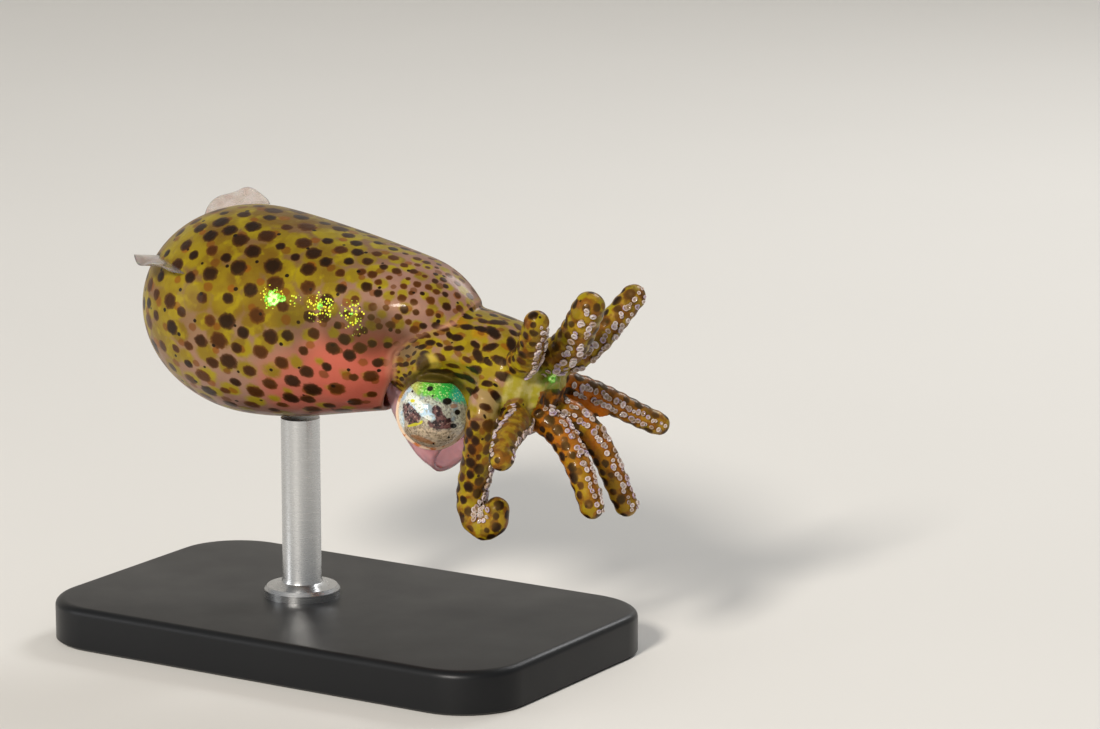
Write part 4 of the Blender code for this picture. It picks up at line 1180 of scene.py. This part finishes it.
def baseShell():
    halfLength, halfWidth, r = stand["length"] / 2, stand["width"] / 2, stand["corner"]
    outline = []
    for cx, cy, start in ((1, 1, 0), (-1, 1, 90), (-1, -1, 180), (1, -1, 270)):
        for k in range(13):
            a = math.radians(start + 7.5 * k)
            outline.append((cx * (halfLength - r) + r * math.cos(a), cy * (halfWidth - r) + r * math.sin(a)))
    outline = np.array(outline)
    e = stand["edge"]
    steps = [(0.12, 0.0), (0.0, 0.12)]
    steps += [(e * (1 - math.cos(math.radians(a))), stand["height"] - e + e * math.sin(math.radians(a)))
              for a in range(0, 91, 15)]
    rings = []
    for inset, z in steps:
        scale = np.array([(halfLength - inset) / halfLength, (halfWidth - inset) / halfWidth])
        rings.append(np.column_stack([outline * scale, np.full(len(outline), z)]))
    verts, faces = loftRings(rings, (0, 0, 0), (0, 0, stand["height"]))
    return verts * mm, faces


def rodShell():
    bottom = stand["height"]
    top = pose["bodyAt"][2] - mantle["radius"] + 0.6
    r, foot, rise = stand["rodRadius"], stand["footRadius"], stand["footHeight"]
    profile = [(foot, bottom - 0.1), (foot, bottom + rise * 0.6), (foot * 0.93, bottom + rise * 0.9),
               (r + 0.3, bottom + rise), (r + 0.06, bottom + rise + 0.12), (r, bottom + rise + 0.3),
               (r, top - 1.2), (r, top)]
    rings = [ringPoints((stand["rodX"], 0, z), (0, 1, 0), (1, 0, 0), radius, radius, 64) for radius, z in profile]
    verts, faces = loftRings(rings, (stand["rodX"], 0, bottom - 0.1), (stand["rodX"], 0, top))
    return verts * mm, faces


def satinBlackMaterial():
    # Aluminium plate, bead blasted and anodised black: even, fine and satin.
    material, tree, shader = newMaterial("blackAnodisedAluminium", Base_Color=hexColour("#1b1c1e"), Metallic=0.6)
    place = addNode(tree, "ShaderNodeTexCoord").outputs["Object"]
    rough = addNode(tree, "ShaderNodeMapRange", {3: 0.34, 4: 0.46}, {0: noise(tree, place, 2.5)})
    tree.links.new(rough.outputs[0], shader.inputs["Roughness"])
    bump = addNode(tree, "ShaderNodeBump", {"Strength": 0.25, "Distance": 0.01 * mm},
                   {"Height": noise(tree, place, 0.05)})      # blast grain, drawn at 0.05 mm to show
    tree.links.new(bump.outputs[0], shader.inputs["Normal"])
    return material


def turnedSteelMaterial():
    # Stainless rod, turned and brushed: fine rings round its length.
    material, tree, shader = newMaterial("turnedSteel", Base_Color=hexColour("#c4c5c6"), Metallic=1.0)
    place = addNode(tree, "ShaderNodeTexCoord").outputs["Object"]
    squeezed = addNode(tree, "ShaderNodeMapping", {"Scale": (1, 1, 14)}, {"Vector": place})
    lines = noise(tree, squeezed.outputs[0], 0.8)
    rough = addNode(tree, "ShaderNodeMapRange", {3: 0.2, 4: 0.36}, {0: lines})
    tree.links.new(rough.outputs[0], shader.inputs["Roughness"])
    bump = addNode(tree, "ShaderNodeBump", {"Strength": 0.2, "Distance": 0.01 * mm}, {"Height": lines})
    tree.links.new(bump.outputs[0], shader.inputs["Normal"])
    return material


base = makeObject("standBase", *baseShell())
base.data.set_sharp_from_angle(angle=math.radians(30))
base.data.materials.append(satinBlackMaterial())
rod = makeObject("standRod", *rodShell())
rod.data.set_sharp_from_angle(angle=math.radians(30))
rod.data.materials.append(turnedSteelMaterial())
for piece, node in ((base, "stand_base"), (rod, "stand_rod")):
    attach(piece, "root")
    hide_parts(node)
print("stand ready")

# the studio: pale floor that curves up behind, soft lights, and the camera at the photo's angle
studio = {"floor": "#dcdad6", "azimuth": 32.0, "elevation": 12.0, "distance": 200.0, "pixelsPerMm": 22.3,
          "imageWidth": 1100, "imageHeight": 729, "neckPixel": (427, 344), "sensor": 36.0,
          "air": "#eff0f0", "airStrength": 0.40}
# round soft lights: place and aim in mm, power in watts, size in mm
studioLights = {
    "keyLight": {"at": (54, -442, 270), "aim": (2, 0, 12), "power": 2.70, "size": 92, "colour": "#fff8ee"},
    "fillLight": {"at": (-190, -170, 60), "aim": (0, 0, 12), "power": 0.10, "size": 120, "colour": "#ffffff"},
    "rimLight": {"at": (30, 190, 170), "aim": (2, 0, 12), "power": 0.22, "size": 90, "colour": "#ffffff"},
}


def makeFloor():
    profile = [(-400, 0), (260, 0), (300, 3), (335, 14), (362, 34), (378, 62), (384, 100), (385, 420)]
    azimuth = math.radians(studio["azimuth"])
    back = np.array([-math.sin(azimuth), math.cos(azimuth)])
    side = np.array([math.cos(azimuth), math.sin(azimuth)])
    verts, faces = [], []
    for along, z in profile:
        for across in (-700, 700):
            x, y = back * along + side * across
            verts.append((x * mm, y * mm, z * mm))
    for k in range(len(profile) - 1):
        faces.append((2 * k, 2 * k + 1, 2 * k + 3, 2 * k + 2))
    floor = makeObject("studioFloor", np.array(verts), faces)
    material, tree, shader = newMaterial("paintedFloor", Roughness=0.7)
    place = addNode(tree, "ShaderNodeTexCoord").outputs["Object"]
    tone = blendColour(tree, noise(tree, place, 60), studio["floor"], "#d6d4d0")
    tree.links.new(tone, shader.inputs["Base Color"])
    floor.data.materials.append(material)
    return floor


def addLight(name, at, aim, power, size, colour):
    light = bpy.data.lights.new(name, "AREA")
    light.energy = power
    light.color = hexColour(colour)[:3]
    light.shape = "DISK"
    light.size = size * mm
    lamp = bpy.data.objects.new(name, light)
    bpy.context.scene.collection.objects.link(lamp)
    lamp.location = Vector(at) * mm
    lamp.rotation_euler = (Vector(aim) * mm - lamp.location).to_track_quat("-Z", "Y").to_euler()
    return lamp


def addCamera():
    azimuth, elevation = math.radians(studio["azimuth"]), math.radians(studio["elevation"])
    right = np.array([math.cos(azimuth), math.sin(azimuth), 0])
    back = np.array([math.sin(azimuth) * math.cos(elevation), -math.cos(azimuth) * math.cos(elevation),
                     math.sin(elevation)])
    up = np.cross(back, right)
    pixel = np.array(studio["neckPixel"])
    offset = (pixel - (studio["imageWidth"] / 2, studio["imageHeight"] / 2)) / studio["pixelsPerMm"]
    target = bodyAt - offset[0] * right + offset[1] * up
    camera = bpy.data.cameras.new("camera")
    camera.sensor_width = studio["sensor"]
    camera.lens = studio["sensor"] * studio["distance"] * studio["pixelsPerMm"] / studio["imageWidth"]
    camera.clip_start, camera.clip_end = 0.01, 5.0
    viewer = bpy.data.objects.new("camera", camera)
    bpy.context.scene.collection.objects.link(viewer)
    viewer.matrix_world = Matrix([[*row, at] for row, at in zip(np.column_stack([right, up, back]).tolist(),
                                                                ((target + back * studio["distance"]) * mm).tolist())]
                                 + [[0, 0, 0, 1]])
    bpy.context.scene.camera = viewer


makeFloor()
for name, light in studioLights.items():
    addLight(name, **light)
world = bpy.data.worlds.new("studioLight")
world.use_nodes = True
world.node_tree.nodes["Background"].inputs["Color"].default_value = hexColour(studio["air"])
world.node_tree.nodes["Background"].inputs["Strength"].default_value = studio["airStrength"]
bpy.context.scene.world = world
bpy.context.scene.view_settings.view_transform = "Standard"
addCamera()
print("studio ready")
